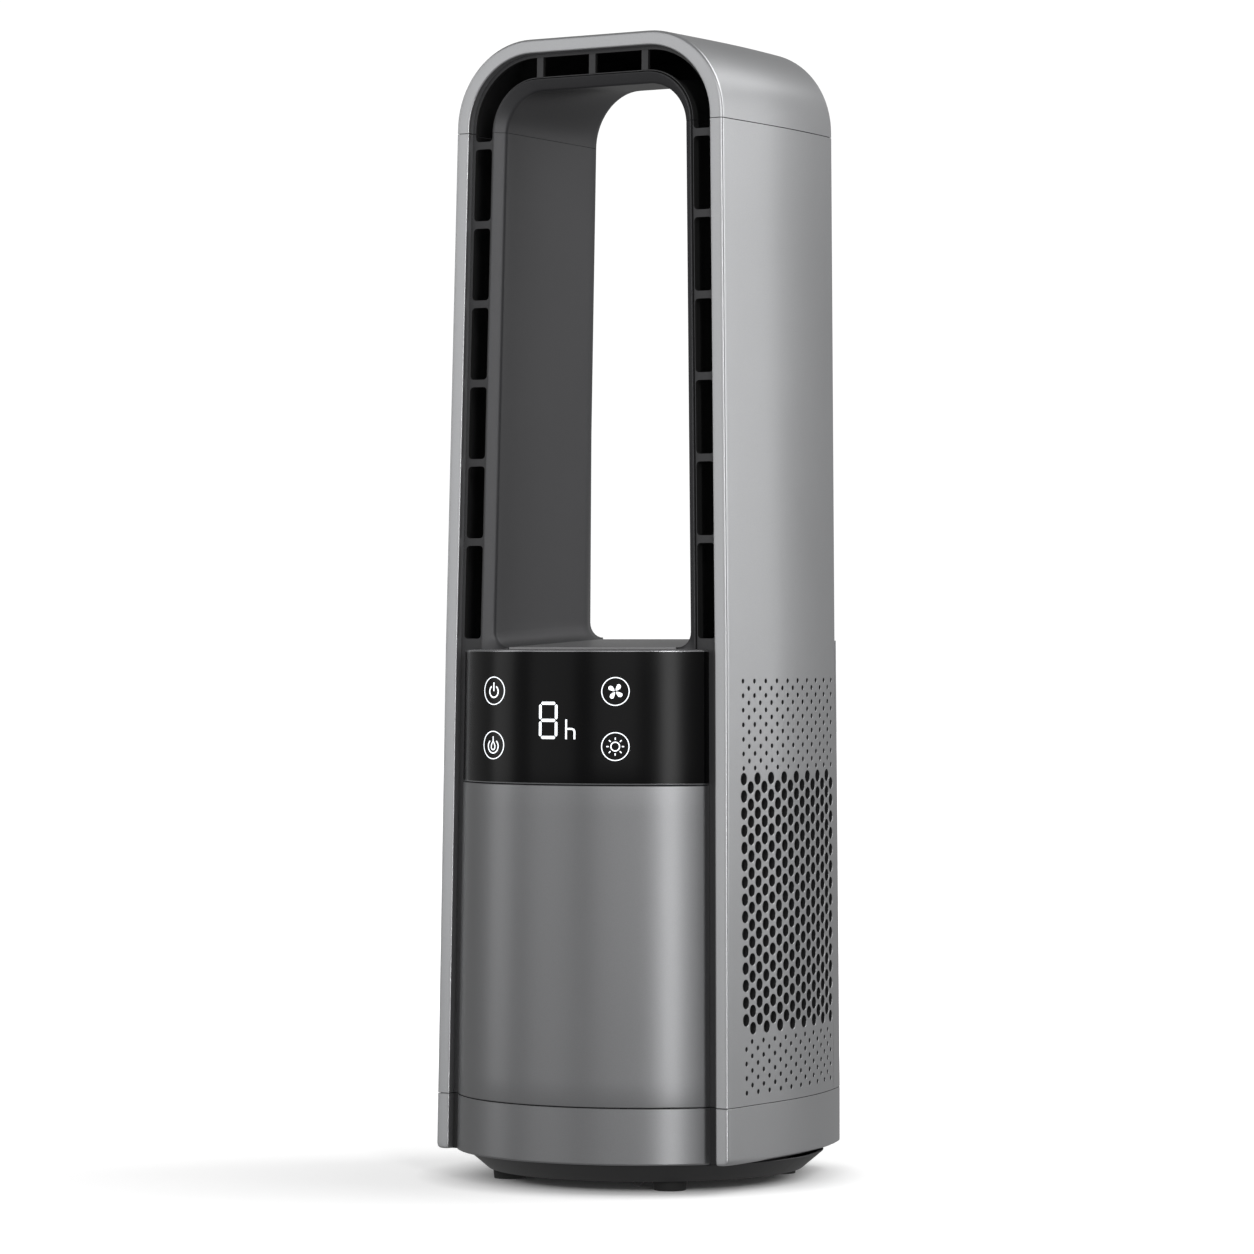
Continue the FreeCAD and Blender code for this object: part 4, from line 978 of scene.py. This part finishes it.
# The plate's front is dark grille plastic; its sides, back and ends, and those of the ribs, carry
# painted shade.
top_grille = Piece()
for near, far in ((PLATE_OUTER, SLOT_OUTER), (SLOT_INNER, PLATE_INNER)):
    corners = ((RECESS, near), (RECESS, far), (GRILLE_BACK, far), (GRILLE_BACK, near))
    tracks = [arch_row(fixed(depth), offset, cap_seam) for depth, offset in corners]
    top_grille.bar([list(column) for column in zip(*tracks)], one_or_other(1, 4), 1)
for x in (-33.0, 0.0, 33.0):
    rows = []
    for z in (HEIGHT - SLOT_INNER - 0.2, HEIGHT - SLOT_OUTER + 0.2):
        front, back = RECESS - front_plane(z), GRILLE_BACK - front_plane(z)
        left, right = x - HALF_RIB, x + HALF_RIB
        rows.append([(left, front, z), (right, front, z), (right, back, z), (left, back, z)])
    top_grille.bar(rows, one_or_other(1, 4), 1)
top_grille.build(
    "top_grille_plate", "tower", "dark_grille", [grille_plastic, painted_shade_black], ["top_outlet_grille"]
)

# %% [markdown]
# ## The dark inner wall
# Inside the loop a smooth wall runs from a bevelled nose at the slot back to the trailing edge. It
# is ruled between a few rails, and the rails are the same kind of track as the rim's.

# %% rails of the inner wall
SADDLE_FILLET, LOOP_EDGE = 8.5, 21.2
REAR_EDGE, SKIRT = 65.8, 6.0
BEVEL_DEPTH, TAIL_DEPTH = 8.2, 107.0
WALL_LEVELS = [300 + 29 * i for i in range(9)] + [548, 555, TOP_SEAM - 0.1]


def floor_height(depth):
    """The floor of the opening: steep before the bevel, then rising gently to the back."""
    run = depth - BEVEL_DEPTH
    return 285 + run * (1.3 if run < 0 else 4.4 / (TAIL_DEPTH - BEVEL_DEPTH))


def depth_at(depth, z):
    """A rail is at a fixed depth, or at the rear edge of the covers when depth is None."""
    return REAR_EDGE + front_plane(z) if depth is None else depth


def leg_rail(depth, offset):
    """From the floor of the opening, round its soft corner and up to the seam."""
    floor = floor_height(depth_at(depth, BODY_TOP))
    rail = []
    for i in range(8):
        a = math.pi / 2 * (1 - i / 7)
        z = floor + SADDLE_FILLET * (1 - math.sin(a))
        place = leg_point(depth_at(depth, z), offset, z)
        if offset != LOOP_EDGE:
            place.x -= SADDLE_FILLET * (1 - math.cos(a))
        rail.append(place)
    rail.insert(0, rail[0] - Vector((0, 0, SKIRT)))
    return rail + [leg_point(depth_at(depth, z), offset, z) for z in WALL_LEVELS]


def top_rail(depth, offset):
    return arch_row(lambda z: depth_at(depth, z), offset, TOP_SEAM + 0.1)


def ruled(first, last, share):
    return [Vector(a).lerp(Vector(b), share) for a, b in zip(first, last)]


def bent(first, corner, last, steps):
    """Rails that turn softly from one to another, drawn towards a corner rail."""
    shares = [i / steps for i in range(steps + 1)]
    return [ruled(ruled(first, corner, t), ruled(corner, last, t), t) for t in shares]


def inner_wall(rail):
    """A closed band: slot side, nose, bevel, wall and tail in front; the hidden side behind."""
    bevel, tail, end = rail(BEVEL_DEPTH, 27.2), rail(TAIL_DEPTH, 18.0), rail(None, 2.45)
    nose = rail(3.0, LOOP_EDGE)
    tracks = [rail(11.2, LOOP_EDGE)]
    tracks += bent(rail(4.1, LOOP_EDGE), nose, ruled(nose, bevel, 0.14), 5)
    tracks += bent(ruled(nose, bevel, 0.8), bevel, ruled(bevel, tail, 0.015), 5)
    tracks += [ruled(bevel, tail, s) for s in (0.08, 0.25, 0.45, 0.65, 0.85)]
    tracks += bent(ruled(bevel, tail, 0.95), tail, ruled(tail, end, 0.22), 7)
    visible = len(tracks) + 2
    tracks += [ruled(tail, end, s) for s in (0.5, 0.75, 1.0)]
    tracks += [rail(TAIL_DEPTH, 15.8), rail(60.0, 20.6), rail(11.2, 25.0)]
    piece = Piece()
    rows = [list(column) for column in zip(*tracks)]
    # Tone 1, the slot side and the hidden side behind, is painted shade.
    piece.bar(rows, lambda i, j: 0 if 1 <= j < visible else 1, 1)
    return piece


for side, mirror in (("right", False), ("left", True)):
    inner_wall(leg_rail).build(
        f"{side}_inner_shell", "tower", "dark_inner", [inner_plastic, painted_shade_black],
        [f"{side}_inner_wall"], mirror=mirror,
    )
inner_wall(top_rail).build(
    "top_inner_shell", "tower", "dark_inner", [inner_plastic, painted_shade_black], ["top_inner_wall"]
)

# %% [markdown]
# ## Lit symbols
# The window shows a seven-segment hour readout and four ringed touch keys. They are drawn as thin
# strokes on the round face: along is millimetres round the front, up is the height.


# %% stroke drawing
PROUD, SUNK = 0.08, -0.2


class Drawing(Piece):
    """Thin lit strokes that lie on the round window."""

    def on_face(self, along, up, lift):
        radius = face_radius(up)
        turn = along / radius
        reach = radius + lift
        return (reach * math.sin(turn), -reach * math.cos(turn), up)

    def stroke(self, path, width, closed=False):
        rows = []
        count = len(path)
        for i, (x, y) in enumerate(path):
            before = path[(i - 1) % count] if closed or i else path[i]
            after = path[(i + 1) % count] if closed or i < count - 1 else path[i]
            way = Vector((after[0] - before[0], after[1] - before[1])).normalized() * width / 2
            left, right = (x - way.y, y + way.x), (x + way.y, y - way.x)
            corners = ((left, PROUD), (right, PROUD), (right, SUNK), (left, SUNK))
            rows.append([self.on_face(*place, lift) for place, lift in corners])
        if closed:
            rows.append(rows[0])
        index = self.grid(rows, round_trip=True)
        if not closed:
            self.face(index[0])
            self.face(list(reversed(index[-1])))

    def arc(self, centre, radius, width, start=0.0, sweep=360.0, steps=28):
        closed = sweep == 360.0
        last = steps if closed else steps + 1
        turn = [math.radians(start + sweep * i / steps) for i in range(last)]
        x, y = centre
        path = [(x + radius * math.cos(a), y + radius * math.sin(a)) for a in turn]
        self.stroke(path, width, closed)

    def patch(self, outline):
        """A filled shape: a fan round its middle, with a rim that goes into the window."""
        middle = [sum(values) / len(outline) for values in zip(*outline)]
        top = [self.add(self.on_face(*p, PROUD)) for p in outline]
        low = [self.add(self.on_face(*p, SUNK)) for p in outline]
        hub = [self.add(self.on_face(*middle, lift)) for lift in (PROUD, SUNK)]
        for i in range(len(outline)):
            k = (i + 1) % len(outline)
            self.face((hub[0], top[i], top[k]))
            self.face((hub[1], low[k], low[i]))
            self.face((top[i], low[i], low[k], top[k]))


# %% seven-segment readout
def segment(drawing, start, end, width):
    """A bar with pointed ends between two corners of a digit."""
    a, b = Vector(start), Vector(end)
    way = (b - a).normalized()
    side = Vector((-way.y, way.x)) * width / 2
    a, b = a + way * 0.3 * width, b - way * 0.3 * width
    tip = way * width * 0.42
    corners = (a, a + tip + side, b - tip + side, b, b - tip - side, a + tip - side)
    drawing.patch([tuple(p) for p in corners])


READOUT_LOW = 237.0


def eight(drawing, centre, width, tall, line):
    """The digit with all its seven bars lit."""
    left, right, low = centre - width / 2, centre + width / 2, READOUT_LOW + line / 2
    middle, high = low + tall / 2, low + tall
    for z in (high, middle, low):
        segment(drawing, (left, z), (right, z), line)
    for x in (left, right):
        segment(drawing, (x, middle), (x, high), line)
        segment(drawing, (x, low), (x, middle), line)


readout = Drawing()
eight(readout, 1.37, 9.8, 17.9, 1.6)
letter = [(12.2, READOUT_LOW), (12.2, READOUT_LOW + 4.9), (12.2, READOUT_LOW + 10.3)]
readout.stroke(letter, 1.0)
shoulder = [(12.9, 5.4), (15.4, 5.4), (16.5, 5.0), (17.0, 4.0), (17.0, 0.0)]
readout.stroke([(u, READOUT_LOW + v) for u, v in shoulder], 1.0)
readout.build("hour_readout", "tower", "lit_display", [lit_symbol])

# %% [markdown]
# Each touch key is a ring with a small sign in it. All four share one class, so the ring and the
# way a sign is placed are written once.

# %% touch key symbols
KEY_TURN, KEY_HIGH, KEY_LOW = math.radians(22.8), 262.0, 233.3
LEFT_STRETCH = 1.3


class Key(Drawing):
    """A symbol drawn round its own middle; the left keys are a little wider than tall."""

    def __init__(self, side, up):
        super().__init__()
        self.middle = (side * KEY_TURN * face_radius(up), up)
        self.stretch = LEFT_STRETCH if side < 0 else 1.0

    def on_face(self, along, up, lift):
        return super().on_face(self.middle[0] + along * self.stretch, self.middle[1] + up, lift)


power, heat, fan, sun = Key(-1, KEY_HIGH), Key(-1, KEY_LOW), Key(1, KEY_HIGH), Key(1, KEY_LOW)
for key in (power, heat, fan, sun):
    key.arc((0, 0), 7.25, 0.5, steps=64)

power.arc((0, -0.4), 3.1, 0.75, start=122, sweep=296)
power.stroke([(0, -0.2), (0, 2.0), (0, 4.4)], 0.75)

drop = [(0, 2.3), (0.8, 0.9), (1.35, -0.3), (1.3, -1.5), (0.7, -2.3), (0, -2.5)]
drop += [(-u, v) for u, v in reversed(drop[1:-1])]
heat.stroke(drop, 0.6, closed=True)
heat.stroke([(0, 2.3), (0, 3.4), (0, 4.6)], 0.6)
heat.arc((0, -0.6), 3.6, 0.65, start=130, sweep=280)

blade = [(0.4, 0.1), (1.3, -0.9), (2.7, -1.5), (3.9, -1.2), (4.4, -0.1), (3.7, 0.9)]
blade += [(2.5, 0.8), (1.3, 0.5)]
for k in range(4):
    turn = math.radians(60 + 90 * k)
    cosine, sine = math.cos(turn), math.sin(turn)
    fan.patch([(u * cosine - v * sine, u * sine + v * cosine) for u, v in blade])

sun.arc((0, 0), 2.3, 0.6)
for k in range(8):
    turn = math.radians(45 * k)
    sun.stroke([(r * math.cos(turn), r * math.sin(turn)) for r in (3.5, 4.1, 4.7)], 0.6)

for name, key in (("power", power), ("heat", heat), ("fan", fan), ("sun", sun)):
    key.build(f"{name}_key_symbol", "tower", "lit_display", [lit_symbol])

# %% [markdown]
# ## Studio
# A plain pale floor and soft lights. Metallic paint shows what it mirrors, so tall softboxes stand
# all round: one just right of the lens for the band on the front cover, a wide one behind right
# and two overhead for the side, two weak ones in front and one far left for the edges.


# %% floor and lights
AIM_HEIGHT = 0.3


def softbox(name, turn, distance, height, width, tall, watts):
    """A rectangular light that faces the fan; turn is measured from the front to the right."""
    data = bpy.data.lights.new(name, "AREA")
    data.shape, data.size, data.size_y, data.energy = "RECTANGLE", width, tall, watts
    light = bpy.data.objects.new(name, data)
    bpy.context.scene.collection.objects.link(light)
    angle = math.radians(turn)
    light.location = (distance * math.sin(angle), -distance * math.cos(angle), height)
    towards = Vector((0, 0, AIM_HEIGHT)) - light.location
    light.rotation_euler = towards.to_track_quat("-Z", "Y").to_euler()


softbox("front right box", 47, 2.6, 0.7, 0.45, 2.4, 26.0)
softbox("back right box", 130, 2.6, 1.15, 1.2, 2.2, 22.0)
softbox("left box", -68, 2.6, 0.9, 0.9, 2.2, 7.5)
softbox("front left box", -28, 3.0, 0.95, 1.8, 2.4, 11.0)
softbox("front box", 14, 3.0, 1.1, 1.6, 2.4, 14.0)
softbox("right top box", 120, 1.7, 2.3, 1.6, 1.6, 17.0)
softbox("back top box", 150, 1.9, 2.2, 1.4, 1.4, 6.0)

print("lights:", len(bpy.data.lights))

# %% [markdown]
# The floor is a plain pale sheet that glows by itself, so it stays even. Under the foot its glow
# is taken away, a painted shadow, and near the fan it glows at half strength so that the shadows
# of the lights show. It is hidden from reflections, because its glow would wash out the covers.

# %% floor
floor_mesh = bpy.data.meshes.new("floor")
reach = 12.0
corners = [(x * reach, y * reach, 0) for x, y in ((-1, -1), (1, -1), (1, 1), (-1, 1))]
floor_mesh.from_pydata(corners, [], [(0, 1, 2, 3)])
floor = bpy.data.objects.new("floor", floor_mesh)
bpy.context.scene.collection.objects.link(floor)
floor_finish = Finish("studio floor", (0.8, 0.8, 0.8), 0.9)
where = {0: floor_finish.place()}
spread = floor_finish.node("ShaderNodeVectorMath", {"operation": "LENGTH"}, where, output=1)


def ramp_out(first, last):
    """0 at one distance from the middle of the floor and 1 at the other."""
    inputs = {"Value": spread, "From Min": first, "From Max": last}
    return floor_finish.node("ShaderNodeMapRange", None, inputs)


# No glow under the foot, a painted shadow; half glow near the fan, rising to full glow far away.
glow_with_painted_shadow = ramp_out(0.07, 0.125) * (ramp_out(0.15, 0.9) * 0.5 + 0.5)
floor_finish.set("Emission Color", floor_finish.mix(glow_with_painted_shadow, (0, 0, 0), (1, 1, 1)))
floor_finish.set("Emission Strength", 1.0)
floor_mesh.materials.append(floor_finish.material)
floor.visible_glossy = floor.visible_diffuse = False
print("floor reaches", reach, "m each way")

# %% [markdown]
# The room is white to the eye, but it lights the fan only weakly, so the softboxes do the
# modelling. The world's nodes are added by the same method as those of a finish.


# %% room
class Room(Finish):
    """The world's own node tree, handled like a finish."""

    def __init__(self, world):
        world.use_nodes = True
        self.tree = world.node_tree
        self.shader = self.tree.nodes["Background"]


world = bpy.data.worlds.new("studio")
bpy.context.scene.world = world
room = Room(world)
seen = room.node("ShaderNodeLightPath")
room.set("Color", (1, 1, 1, 1))
room.set("Strength", room.node(
    "ShaderNodeMapRange", None, {"Value": seen, "To Min": 0.26, "To Max": 1.05}
))
print("room light nodes:", len(room.tree.nodes))
